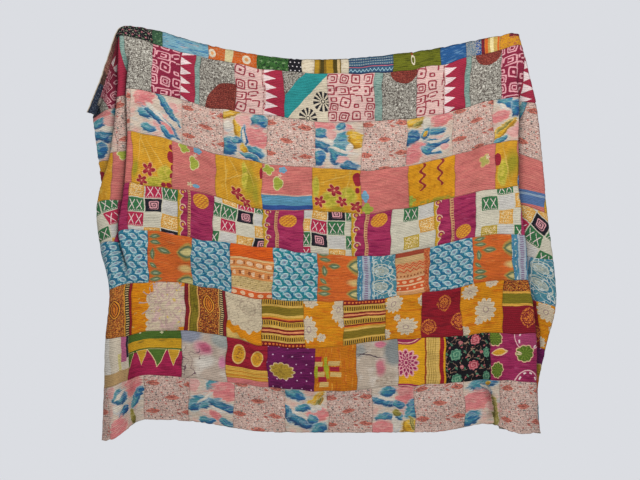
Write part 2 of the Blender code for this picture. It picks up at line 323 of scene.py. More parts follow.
# Each row of patches from left to right, with where it ends down the cloth.
LAYOUT = (
    PatchRow(60, (
        ("night_specks", -1010), ("dark_brown", -955), ("red_brown", -815), ("black_specks", -655),
        ("dark_green", -618), ("sky_cotton", -435), ("orange_discs", -247), ("green_flowers", -123),
        ("black_dots", -69), ("cream_cotton", -18), ("olive_bars", 77), ("cream_cotton", 111),
        ("blue_stripes", 285), ("lime_leaf", 465), ("blue_cotton", 571), ("grey_blue", 630),
        ("end_stripes", 703), ("yellow_cotton", 830), ("green_flowers", 980), ("blue_cotton", 1163))),
    PatchRow(240, (
        ("night_specks", -1088), ("grey_paisley", -1050), ("crimson_spirals", -918, 10, 20),
        ("crimson_teeth", -796, 0, 10, 8), ("pale_teal", -777), ("grey_paisley", -662, 60),
        ("crimson_spirals", -553, 12, 30), ("crimson_teeth", -482, 0, 0, 6), ("pale_teal", -466),
        ("paisley_quarter", -325), ("pale_spirals", -224, 46, 86), ("pale_teeth", -142), ("daisies", 31),
        ("pale_spirals", 212), ("pale_teal", 239), ("paisley_half", 374),
        ("pale_spirals", 476, 50, 86), ("pale_teeth", 572, 4, 10), ("pale_teal", 590),
        ("paisley_half", 711, 14), ("crimson_spirals", 805, 20, 14), ("crimson_teeth", 900, 0, 10, -10),
        ("pale_teal", 920), ("grey_paisley", 1040), ("pale_spirals", 1163))),
    PatchRow(420, (
        ("brush_waves", -925), ("small_floral", -747), ("brush_slopes", -535), ("small_floral", -372, 12),
        ("brush_bloom", -201), ("small_floral", -22, 30), ("brush_waves", 162),
        ("small_floral", 336, 20, 14), ("brush_crest", 513), ("small_floral", 677, 8, 20),
        ("brush_side", 850), ("small_floral", 1020), ("brush_bloom", 1163))),
    PatchRow(600, (
        ("marigold_edge", -935), ("salmon_sprig", -739, 10), ("marigold_posy", -581),
        ("salmon_sprig", -410), ("marigold_branch", -219), ("salmon_bar", -34), ("marigold_bed", 158),
        ("salmon_plain", 341), ("mustard_waves", 527), ("salmon_bloom", 690), ("marigold_edge", 778),
        ("salmon_flap", 1040), ("marigold_posy", 1163))),
    PatchRow(775, (
        ("check_dense", -905, 85, 40, -20), ("magenta_disc", -745, 120, 40), ("check_dense", -558, 4, 8),
        ("magenta_waves", -514), ("magenta_disc", -412, 4, 14), ("check_dense", -223, 233, 36, 2),
        ("magenta_waves", -173), ("magenta_disc", -65), ("check_dense", 123, 36, 190),
        ("magenta_waves", 170), ("magenta_disc", 278, 0, 16), ("check_sparse", 447, 19, 2),
        ("magenta_waves", 503), ("magenta_disc", 606, 0, -96), ("check_mixed", 780, -19, 32),
        ("magenta_disc", 846, 110), ("check_dense", 1090, 0, 172, 24), ("magenta_disc", 1163))),
    PatchRow(965, (
        ("blue_leaves", -669), ("orange_leaves", -501), ("blue_leaves", -348, 14, 8),
        ("orange_ovals", -185), ("teal_leaves", -11), ("orange_leaves", 138, 0, 20), ("blue_paisley", 293),
        ("orange_ornate", 430), ("blue_leaves", 596, 30, 4), ("orange_leaves", 749, 0, 10),
        ("blue_paisley", 860), ("blue_paisley", 1100, -60, 30, 14), ("teal_leaves", 1163))),
    PatchRow(1150, (
        ("cream_on_yellow", -960), ("rust_panel", -731), ("cream_flower", -530), ("rust_border", -365),
        ("yellow_corner", -219), ("border_stripes", -61), ("cream_on_yellow", 92),
        ("border_stripes", 251, 0, 0, 180), ("cream_on_yellow", 394, 180), ("medallions", 550),
        ("cream_on_yellow", 708, 360), ("stripe_medallion", 860), ("medallions", 990, 30),
        ("cream_on_yellow", 1163, 180))),
    PatchRow(1325, (
        ("black_roses", -960), ("tube_stripes", -748), ("green_teeth", -540), ("rose_grey", -368),
        ("red_ovals", -208), ("purple_dots", -22), ("orange_bricks", 139), ("tulip_grey", 309),
        ("magenta_flower", 483), ("black_roses", 658), ("magenta_leaves", 880), ("orange_leaves", 975, 30),
        ("purple_dots", 1163, 60))),
    PatchRow(1500, (
        ("small_floral", -855), ("brush_bend", -677), ("small_floral", -503), ("brush_ripple", -336),
        ("small_floral", -134, 10, 24), ("brush_swirl", 27), ("small_floral", 200, 26),
        ("brush_stem", 370), ("small_floral", 560, 6, 12), ("brush_corner", 700), ("small_floral", 900),
        ("brush_ripple", 1060), ("small_floral", 1163))),
)


class Field:
    """A number that changes over the cloth, worked out by shader nodes."""

    def __init__(self, maker, socket):
        self.maker = maker
        self.socket = socket

    def math(self, operation, *others):
        return self.maker.number("ShaderNodeMath", self, *others, operation=operation)

    __add__ = partialmethod(math, "ADD")
    __sub__ = partialmethod(math, "SUBTRACT")
    __mul__ = partialmethod(math, "MULTIPLY")
    __mod__ = partialmethod(math, "FLOORED_MODULO")
    __lt__ = partialmethod(math, "LESS_THAN")
    __gt__ = partialmethod(math, "GREATER_THAN")
    __and__ = partialmethod(math, "MULTIPLY")
    __or__ = partialmethod(math, "MAXIMUM")
    __abs__ = partialmethod(math, "ABSOLUTE")
    sine = partialmethod(math, "SINE")

    def __rsub__(self, other):
        return self.maker.number("ShaderNodeMath", other, self, operation="SUBTRACT")

    def __invert__(self):
        return 1.0 - self

    def wave(self, length):
        """An even wave from -1 to 1, with this length in millimetres."""
        return (self * (2 * math.pi / length)).sine()

    def soft(self, width):
        """Rises evenly from 0 to 1 while this number goes from 0 to the width."""
        return self.maker.number("ShaderNodeMath", self, 1.0 / width, operation="MULTIPLY", use_clamp=True)


class Spot:
    """Places on the cloth as seen from one motif: in millimetres, or in the motif's own half sizes."""

    def __init__(self, maker, socket):
        self.maker = maker
        self.socket = socket
        self.parts = None

    def part(self, index):
        if self.parts is None:
            self.parts = self.maker.node("ShaderNodeSeparateXYZ", self).outputs
        return Field(self.maker, self.parts[index])

    @property
    def x(self):
        return self.part(0)

    @property
    def y(self):
        return self.part(1)

    def vector(self, operation, *others):
        made = self.maker.node("ShaderNodeVectorMath", self, *others, operation=operation)
        return Spot(self.maker, made.outputs[0])

    def at(self, x, y, half_width=1.0, half_height=None, turn=0.0):
        """The same places seen from a motif with this middle, half size and turn in degrees."""
        height = half_width if half_height is None else half_height
        turned = (0.0, 0.0, math.radians(turn))
        size = (half_width, height, 1.0)
        mapped = self.maker.node(
            "ShaderNodeMapping", self, (x, y, 0.0), turned, size, vector_type="TEXTURE")
        return Spot(self.maker, mapped.outputs[0])

    def tiled(self, width, height, slide=0.0):
        """Repeats in cells, seen from each cell's middle, with each row slid by a share of the width."""
        cells = self.vector("DIVIDE", (width, height, 1.0))
        if slide:
            row = (cells.y + 0.5).math("FLOOR")
            moved = self.maker.node("ShaderNodeCombineXYZ", row * slide)
            cells = Spot(self.maker, moved.outputs[0]).vector("ADD", cells)
        wrapped = cells.vector("WRAP", (0.5, 0.5, 1.0), (-0.5, -0.5, -1.0))
        return wrapped.vector("MULTIPLY", (width, height, 1.0))

    def length(self):
        made = self.maker.node("ShaderNodeVectorMath", self, operation="LENGTH")
        return Field(self.maker, made.outputs[1])

    def angle(self):
        return self.y.math("ARCTAN2", self.x)

    def disc(self):
        return self.length() < 1.0

    def ring(self, inner=0.7):
        length = self.length()
        return (length < 1.0) & (length > inner)

    def box(self):
        return abs(self.x).math("MAXIMUM", abs(self.y)) < 1.0

    def leaf(self):
        """A pointed oval that fills the half sizes."""
        return (self.x * self.x + abs(self.y)) < 1.0

    def soft_leaf(self, size, width):
        """A pointed oval of this size that fades in over the width."""
        return (size - self.x * self.x - abs(self.y)).soft(width)

    def tooth(self):
        """A triangle with its base on the left and its tip on the right."""
        return (abs(self.y) * 2.0 + self.x < 1.0) & (self.x > -1.0)

    def petals(self, count, depth=0.35):
        """A flower of round petals that fills the half sizes."""
        edge = abs((self.angle() * (0.5 * count)).math("COSINE")) * (2.0 * depth) + (1.0 - 2.0 * depth)
        return self.length() < edge

    def squarish(self):
        """Distance from the middle, along rounded squares."""
        cubed = self.vector("MULTIPLY", self).vector("MULTIPLY", self)
        return cubed.length().math("POWER", 1.0 / 3.0)

    def spiral(self, turns, share=0.45):
        """Lines that wind out along rounded squares, with this many turns inside the half size."""
        distance = self.squarish()
        winding = (distance * turns - self.angle() * (0.5 / math.pi)) % 1.0
        return (winding < share) & (distance < 1.0)

    def cross(self, stroke=0.16):
        """An X in the middle of its box."""
        return ((abs(self.x) - abs(self.y)).math("ABSOLUTE") < stroke) & self.box()


# The places of the share, the two colours and the result among a colour mix node's sockets.
MIX_INPUTS = (0, 6, 7)
MIX_OUTPUT = 2


class NodeMaker:
    """Makes shader nodes in one tree and links them."""

    def __init__(self, tree):
        self.tree = tree

    def node(self, kind, *values, **settings):
        made = self.tree.nodes.new(kind)
        for name, value in settings.items():
            setattr(made, name, value)
        for socket, value in zip(made.inputs, values):
            self.feed(socket, value)
        return made

    def feed(self, socket, value):
        if isinstance(value, (Field, Spot)):
            self.tree.links.new(value.socket, socket)
        elif isinstance(value, bpy.types.NodeSocket):
            self.tree.links.new(value, socket)
        elif value is not None:
            socket.default_value = value

    def number(self, kind, *values, **settings):
        return Field(self, self.node(kind, *values, **settings).outputs[0])

    def map_spot(self, name):
        """Places from one of the sheet's maps, in millimetres."""
        found = self.node("ShaderNodeUVMap", uv_map=name).outputs[0]
        return Spot(self, found).vector("MULTIPLY", (1.0 / MILLIMETRE, 1.0 / MILLIMETRE, 0.0))

    def noise(self, spot, size, detail=2.0, stretch=(1.0, 1.0), output=0):
        """Soft noise from 0 to 1 with grains of about this size in millimetres."""
        scaled = spot.vector("MULTIPLY", (1.0 / (size * stretch[0]), 1.0 / (size * stretch[1]), 0.0))
        made = self.node("ShaderNodeTexNoise", scaled, None, 1.0, detail, noise_dimensions="3D")
        return Field(self, made.outputs[output])

    def mix(self, share, first, second):
        """The first colour, with this share of the second over it."""
        made = self.tree.nodes.new("ShaderNodeMix")
        made.data_type = "RGBA"
        for socket, value in zip(MIX_INPUTS, (share, first, second)):
            self.feed(made.inputs[socket], value)
        return made.outputs[MIX_OUTPUT]


def shader_colour(colour):
    """Red, green and blue from 0 to 255 on a screen, as the shader's own numbers."""
    bend = 0.055
    gamma = 2.4
    return tuple(((channel / 255 + bend) / (1 + bend)) ** gamma for channel in colour) + (1.0,)


class Painter(NodeMaker):
    """Paints one cotton print, in layers, over its ground colour."""

    def __init__(self, name, ground, wobble):
        self.material = bpy.data.materials.new(name)
        self.material.use_nodes = True
        super().__init__(self.material.node_tree)
        self.tree.nodes.clear()
        self.colour = shader_colour(ground)
        self.still = self.map_spot("print")
        self.cloth = self.wobbled(wobble, 10.0 + 3.0 * wobble)

    def wobbled(self, amount, size, detail=1.0):
        """The print's places, moved about as an uneven hand block would leave them."""
        shift = self.noise(self.still, size, detail=detail, output=1)
        centred = Spot(self, shift.socket).vector("SUBTRACT", (0.5, 0.5, 0.5))
        return centred.vector("MULTIPLY", (2 * amount, 2 * amount, 0.0)).vector("ADD", self.still)

    def paint(self, colour, mask):
        """Lays a colour over what is there, where the mask is 1."""
        self.colour = self.mix(mask, self.colour, shader_colour(colour))

    def at(self, *place, **turn):
        return self.cloth.at(*place, **turn)

    def tiled(self, *cell):
        return self.cloth.tiled(*cell)

    def grain(self, size, **more):
        return self.noise(self.cloth, size, **more)

    def cell(self, width, height):
        """A repeat of this size, seen from its top left corner."""
        return self.cloth.vector("WRAP", (width, height, 1.0), (0.0, 0.0, -1.0))

    def cloud(self, size, level, width, stretch=(1.0, 1.0)):
        """Soft-edged patches where the noise is above a level."""
        return (self.grain(size, stretch=stretch) - level).soft(width)

    def scribble(self, size, width=0.03):
        """Thin looping lines."""
        return abs(self.grain(size, detail=1.0) - 0.5) < width

    def stripes(self, place, measures):
        """Stripes along one way of the cloth: the middle of each and half its width, in turn."""
        pairs = zip(measures[::2], measures[1::2])
        return reduce(or_, [abs(place - middle) < half for middle, half in pairs])

    def rows(self, *measures):
        """Stripes that run across the cloth."""
        return self.stripes(self.cloth.y, measures)

    def columns(self, *measures):
        """Stripes that run down the cloth."""
        return self.stripes(self.cloth.x, measures)

    def glow(self, x, y, half_width, half_height, width, turn=0):
        """A soft oval, full in its middle and fading out over this share of its half size."""
        return (1.0 - self.at(x, y, half_width, half_height, turn=turn).length()).soft(width)

    def dashes(self, pitch, share=0.5, down=False):
        """1 in the dashes of a row of dashes, and 0 between them."""
        place = self.cloth.y if down else self.cloth.x
        return (place % pitch) < pitch * share


# The running stitches, in millimetres, and the shares of their pitch and length that show as thread.
STITCH_PITCH = 6.4
STITCH_LENGTH = 7.5
STITCH_DRIFT = 9.0
THREAD_WIDTH = 0.13
THREAD_SHARE = 0.58

# How the light and dark of the cloth changes, and how far the shade of seams and folds reaches.
FADE_TONE, STREAK_TONE, SLUB_TONE, FLECK_TONE = 0.30, 0.62, 0.30, 0.34
PATCH_TONE = 0.04
SEAM_SHADE = 3.5
FOLD_SHADE_REACH = 45.0
FOLD_SHADE_SAMPLES = 6
FOLD_SHADE_POWER = 2.0
WEAVE_PITCH = 1.3

# The light that is left deep in a seam, between rows of stitching and deep in a fold, what open cloth adds
# to each, and what a thread adds.
OPEN_LIGHT = 0.97
SEAM_LIGHT = (0.74, 0.26)
ROW_LIGHT = (0.86, 0.20)
FOLD_LIGHT = (0.22, 0.82)
THREAD_LIGHT = (1.0, 0.22)

# How pale the worn areas and the threads make even a black print.
FADE_DUST = 0.006
THREAD_DUST = 0.012

# How high the puff between rows, the thread, the seam, the weave and three kinds of grain stand.
RELIEF_HEIGHTS = (1.2, -0.5, 1.6, 0.06, 1.6, 0.3, 0.8)
RELIEF_STRENGTH = 0.8


def lit_share(field, light):
    """The share of the light that is kept, from what is left at 0 to what is added at 1."""
    left, added = light
    return field * added + left


def finish_group():
    """What every patch shares: running stitches, weave, faded and streaked colour, sunk seams, and painted
    shade in seams, stitch lines and folds.
    """
    group = bpy.data.node_groups.new("kantha_finish", "ShaderNodeTree")
    group.interface.new_socket("Print", in_out="INPUT", socket_type="NodeSocketColor")
    group.interface.new_socket("Color", in_out="OUTPUT", socket_type="NodeSocketColor")
    group.interface.new_socket("Roughness", in_out="OUTPUT", socket_type="NodeSocketFloat")
    group.interface.new_socket("Normal", in_out="OUTPUT", socket_type="NodeSocketVector")
    make = NodeMaker(group)
    entry = make.node("NodeGroupInput")
    leave = make.node("NodeGroupOutput")
    cloth = make.map_spot("cloth")
    near = make.map_spot("near")
    far = make.map_spot("far")
    tone = make.node("ShaderNodeUVMap", uv_map="tone").outputs[0]
    tone_field = Spot(make, tone).x

    # Rows of running stitches, a little uneven, each with its own start.
    drift = (make.noise(cloth, 90.0, stretch=(2.0, 1.0)) - 0.5) * STITCH_DRIFT
    rows = (cloth.y + drift) * (1.0 / STITCH_PITCH)
    row_number = rows.math("FLOOR")
    across_row = abs((rows % 1.0) - 0.5)
    start = make.node("ShaderNodeTexWhiteNoise", None, row_number, noise_dimensions="1D").outputs[0]
    along = ((cloth.x * (1.0 / STITCH_LENGTH)) + Field(make, start)) % 1.0
    thread = (across_row < THREAD_WIDTH) & (along < THREAD_SHARE)
    groove = (across_row * 2.0).math("SMOOTH_MIN", 1.0, 0.3)

    # Colour: faded areas, streaks along the stitching, lighter threads, and painted shade in the sunk
    # seams, along the sunk stitch lines and deep in folds.
    fade = make.noise(cloth, 150.0, detail=3.0)
    streak = make.noise(cloth, 6.0, detail=2.0, stretch=(4.5, 0.8))
    slub = make.noise(cloth, 2.2, detail=1.0, stretch=(3.0, 1.0))
    fleck = make.noise(cloth, 5.0, detail=1.0, stretch=(1.6, 1.0))
    light = (fade - 0.5) * FADE_TONE + (streak - 0.5) * STREAK_TONE
    light = light + (slub - 0.5) * SLUB_TONE + (fleck - 0.5) * FLECK_TONE
    light = light + tone_field * PATCH_TONE + OPEN_LIGHT
    edge = near.x.math("MINIMUM", near.y).math("MINIMUM", far.x).math("MINIMUM", far.y)
    seam = (edge * (1.0 / SEAM_SHADE)).math("MINIMUM", 1.0)
    # Painted shade: darker in the sunk seams and along the sunk lines of running stitches.
    light = light * lit_share(seam, SEAM_LIGHT) * lit_share(groove, ROW_LIGHT)
    light = light * lit_share(thread, THREAD_LIGHT)
    # Painted shade: the colour is darkened deep in folds and crevices, where nearby cloth closes round a
    # point.
    fold_shade_ao = make.node("ShaderNodeAmbientOcclusion", samples=FOLD_SHADE_SAMPLES, only_local=True)
    fold_shade_ao.inputs["Distance"].default_value = FOLD_SHADE_REACH * MILLIMETRE
    fold_shade_share = Field(make, fold_shade_ao.outputs["AO"]).math("POWER", FOLD_SHADE_POWER)
    light = light * lit_share(fold_shade_share, FOLD_LIGHT)
    lit = make.node("ShaderNodeVectorMath", entry.outputs[0], None, operation="SCALE")
    make.feed(lit.inputs[3], light)
    dust = fade * FADE_DUST + thread * THREAD_DUST
    dusted = make.node("ShaderNodeVectorMath", lit.outputs[0], None, operation="ADD")
    make.feed(dusted.inputs[1], dust)
    make.feed(leave.inputs[0], dusted.outputs[0])
    make.feed(leave.inputs[1], (streak - 0.5) * 0.2 + 0.9)

    # Relief: puffs between the rows, pulled in at each stitch and at the seams, and the weave.
    weave = cloth.x.wave(WEAVE_PITCH) * cloth.y.wave(WEAVE_PITCH)
    parts = (groove, thread, seam, weave, streak, slub, fleck)
    height = reduce(add, [part * size for part, size in zip(parts, RELIEF_HEIGHTS)])
    bump = make.node("ShaderNodeBump")
    bump.inputs["Strength"].default_value = RELIEF_STRENGTH
    bump.inputs["Distance"].default_value = MILLIMETRE
    make.feed(bump.inputs["Height"], height)
    make.feed(leave.inputs[2], bump.outputs[0])
    return group


PRINTS = {}

# A repeat wider or taller than any patch, for motifs in one column or row.
BEYOND = 1000


def cotton(ground, wobble=1.4):
    """Keeps a function as the painter of a print with this ground colour."""
    def keep(paint):
        PRINTS[paint.__name__] = (ground, wobble, paint)
        return paint
    return keep


def keep_prints(table, ground, painter, wobble=1.4):
    """Keeps every print of a table, all with one ground colour and one kind of painter."""
    for name, rows in table.items():
        PRINTS[name] = (ground, wobble, painter(rows))


def made_print(name, finish):
    """The material of one print, under the finish that all the cloth shares."""
    ground, wobble, paint = PRINTS[name]
    painter = Painter(name, ground, wobble)
    paint(painter)
    group = painter.node("ShaderNodeGroup", node_tree=finish)
    painter.feed(group.inputs[0], painter.colour)
    shader = painter.node("ShaderNodeBsdfPrincipled")
    shader.inputs["Sheen Weight"].default_value = 0.03
    shader.inputs["Sheen Roughness"].default_value = 0.6
    shader.inputs["Specular IOR Level"].default_value = 0.12
    painter.feed(shader.inputs["Base Color"], group.outputs[0])
    painter.feed(shader.inputs["Roughness"], group.outputs[1])
    painter.feed(shader.inputs["Normal"], group.outputs[2])
    painter.node("ShaderNodeOutputMaterial", shader.outputs[0])
    return painter.material


# Plain cottons: the ground, then soft clouds and thin scribbles, each with its colour and measures.
PLAIN_COTTONS = {
    "night_specks": (
        NIGHT, ("cloud", (92, 106, 120), 7, 0.56, 0.06), ("cloud", (150, 120, 112), 5, 0.66, 0.04)),
    "dark_brown": ((56, 34, 30), ("scribble", (112, 78, 62), 16, 0.05)),
    "red_brown": ((118, 62, 54), ("scribble", (172, 124, 108), 14, 0.05)),
    "dark_green": ((48, 80, 56), ("cloud", (98, 132, 94), 9, 0.54, 0.1)),
    "sky_cotton": (
        (118, 162, 176), ("cloud", (70, 124, 160), 14, 0.54, 0.05, (3.5, 0.6)),
        ("cloud", (156, 160, 166), 20, 0.58, 0.06, (3, 0.6))),
    "cream_cotton": (CREAM, ("cloud", (176, 160, 132), 20, 0.52, 0.1, (2, 0.7))),
    "blue_cotton": ((34, 82, 134), ("cloud", (82, 122, 160), 16, 0.54, 0.06, (3, 0.6))),
    "pale_teal": (PALE_TEAL, ("cloud", (96, 128, 120), 8, 0.52, 0.06, (2.5, 0.6))),
    "back_cotton": (BACK_COTTON, ("cloud", (196, 180, 158), 120, 0.5, 0.4)),
}
BACK_PRINT = "back_cotton"


def plain_painter(layers):
    """Paints a few clouds and scribbles."""
    def paint(p):
        for kind, colour, *measures in layers:
            p.paint(colour, p.cloud(*measures) if kind == "cloud" else p.scribble(*measures))
    return paint


for plain_name, (plain_ground, *plain_layers) in PLAIN_COTTONS.items():
    keep_prints({plain_name: plain_layers}, plain_ground, plain_painter)


@cotton(BLACK)
def black_specks(p):
    p.paint((176, 104, 112), p.tiled(26, 22, 0.5).at(2, 1, 5, 4).petals(5))
    p.paint((84, 116, 80), p.tiled(26, 22, 0.5).at(-9, 8, 4, 3, turn=30).leaf())
    p.paint((206, 190, 172), p.cloud(5, 0.62, 0.03))


@cotton((184, 84, 20))
def orange_discs(p):
    p.paint((182, 112, 72), p.scribble(12, 0.04))
    p.paint(CREAM, p.at(14, 32, 14, 18).disc() | p.at(152, 34, 17, 19).disc())
    p.paint((196, 184, 138), p.columns(84, 17))
    p.paint((206, 146, 92), p.at(14, 32, 6, 8).disc() | p.at(152, 34, 8, 9).disc())


@cotton((50, 92, 40))
def green_flowers(p):
    p.paint((110, 140, 92), p.tiled(30, 26, 0.5).at(0, 0, 8, 6).petals(5))
    p.paint((24, 50, 26), p.cloud(9, 0.54, 0.05))


@cotton((22, 20, 26))
def black_dots(p):
    p.paint((206, 200, 200), p.tiled(16, 18, 0.5).at(0, 0, 2.6, 2.6).disc())


@cotton((122, 94, 26))
def olive_bars(p):
    p.paint((170, 132, 36), p.columns(8, 10, 58, 12))
    p.paint((72, 60, 16), p.columns(30, 7, 80, 8))
    p.paint((196, 170, 120), p.columns(92, 5))


@cotton((50, 84, 110))
def blue_stripes(p):
    p.paint((136, 150, 150), p.rows(8, 2, 17, 1.6, 27, 2) & p.dashes(9, 0.7))
    p.paint((36, 58, 92), p.rows(12, 1.6, 33, 2))
    p.paint((186, 92, 104), p.rows(36, 1.2))
    zigzag = abs((p.cloth.x % 15) - 7.5)
    p.paint((150, 186, 196), abs(p.cloth.y - zigzag * 1.2 - 44) < 1.8)
    p.paint((28, 46, 84), p.rows(58, 2.5))


@cotton((98, 102, 20))
def lime_leaf(p):
    p.paint((76, 80, 12), p.cloud(14, 0.54, 0.05, (3, 0.6)))
    p.paint(CREAM, p.at(76, 28, 17, 8, turn=80).ring(0.62))
    p.paint((136, 64, 30), p.columns(72, 4) & p.rows(4, 8))


@cotton((98, 118, 132))
def grey_blue(p):
    p.paint((38, 78, 140), p.columns(62, 24))
    p.paint((150, 150, 148), p.scribble(10, 0.06))


@cotton((190, 158, 84))
def end_stripes(p):
    p.paint((112, 26, 40), p.columns(4, 9))
    p.paint((206, 98, 34), p.columns(20, 6, 68, 4))
    p.paint((228, 212, 156), p.columns(42, 7))


@cotton((202, 140, 30))
def yellow_cotton(p):
    p.paint((108, 26, 44), p.rows(2, 12) & (p.cloth.x > 36))
    p.paint((172, 96, 60), p.scribble(20, 0.02))


def paisley_lines(p):
    """Fine curling ink on grey cotton."""
    p.paint(GREY_INK, p.scribble(12, 0.04) | p.scribble(6.5, 0.035))
    p.paint((204, 200, 188), p.cloud(10, 0.6, 0.05))


@cotton(GREY_CLOTH)
def grey_paisley(p):
    paisley_lines(p)


def rust_disc(p, *place):
    """A rust disc with darker curls."""
    disc = p.at(*place).disc()
    p.paint(RUST, disc)
    p.paint((92, 34, 30), disc & p.scribble(7, 0.06))
    p.paint((158, 84, 68), disc & (p.grain(5) > 0.62))


@cotton(GREY_CLOTH)
def paisley_quarter(p):
    paisley_lines(p)
    rust_disc(p, 140, 180, 116, 106)


@cotton(GREY_CLOTH)
def paisley_half(p):
    paisley_lines(p)
    rust_disc(p, 84, -6, 54, 52)


# Loops drawn as rounded squares, in one repeat of 142 mm by 136 mm.
Loop = namedtuple("Loop", "kind x y half_width half_height turn", defaults=(0,))
LOOP_REPEAT = (142, 136)
LOOP_STROKE = 5
LOOPS = (
    ("spiral", 18, 20, 19, 18), ("double", 64, 22, 18, 17, 10), ("dotted", 108, 19, 17, 18),
    ("dotted", 8, 62, 18, 18), ("spiral", 56, 64, 29, 16), ("hook", 108, 56, 21, 11, -14),
    ("single", 22, 95, 13, 8), ("dotted", 66, 106, 20, 18, 14), ("corner", 94, 88, 12, 15),
    ("corner", 120, 90, 13, 15, 90), ("single", 108, 118, 11, 8), ("double", 22, 124, 17, 17, 8),
)


def loop_mask(cell, loop):
    """Where the ink of one loop is."""
    spot = cell.at(loop.x, loop.y, loop.half_width, loop.half_height, turn=loop.turn)
    reach = spot.squarish()
    inner = 1 - LOOP_STROKE / math.sqrt(loop.half_width * loop.half_height)
    line = (reach < 1) & (reach > inner)
    if loop.kind == "dotted":
        return line | (reach < 0.26)
    if loop.kind == "double":
        return line | ((reach < 0.52) & (reach > 0.30))
    if loop.kind == "hook":
        return (line & (spot.y < 0.1)) | (spot.at(0, 0.45, 0.55, 0.25).squarish() < 1)
    if loop.kind == "corner":
        return line & (spot.y + spot.x < 0.2)
    if loop.kind == "spiral":
        opened = line & ~spot.at(-0.9, 0.55, 0.3, 0.35).box()
        return opened | ((reach < 0.5) & (reach > 0.26) & (spot.x > -0.3))
    return line


def loop_lines(p, colour):
    """Rounded loops and hooks over the whole patch."""
    cell = p.cell(*LOOP_REPEAT)
    for loop in records(Loop, LOOPS):
        p.paint(colour, loop_mask(cell, loop))


@cotton(CRIMSON, wobble=2.2)
def crimson_spirals(p):
    loop_lines(p, PINK_LINE)


@cotton(PALE_PINK, wobble=2.2)
def pale_spirals(p):
    loop_lines(p, (148, 54, 66))


def white_teeth(p, start, reach):
    """A column of pale triangles that point right."""
    p.paint((222, 202, 200), p.cloth.tiled(BEYOND, 35.6).at(start + reach / 2, 0, reach / 2, 15).tooth())


@cotton((154, 38, 62), wobble=0.8)
def crimson_teeth(p):
    white_teeth(p, 0, 44)


@cotton((154, 36, 60), wobble=0.8)
def pale_teeth(p):
    p.paint(PALE_PINK, p.columns(0, 8))
    p.paint((148, 54, 66), p.cloth.tiled(BEYOND, 68).at(4, 10, 4, 13).ring(0.5))
    white_teeth(p, 8, 48)


@cotton(CREAM)
def daisies(p):
    slant = p.cloth.y * 0.92 + p.cloth.x
    p.paint(TEAL, slant < 180)
    p.paint(GREY_CLOTH, slant < 86)
    p.paint(GREY_INK, (slant < 86) & (p.scribble(12, 0.04) | p.scribble(6.5, 0.035)))
    for x, y in ((152, 106), (98, 172)):
        flower = p.at(x, y, 36, 36)
        petals = (flower.angle() * 11).math("COSINE") + flower.length() * 0.9
        p.paint((28, 28, 36), (petals > 0.55) & flower.ring(0.3) & (petals < 2))
        p.paint((28, 28, 36), flower.at(0, 0, 0.22).ring(0.6))


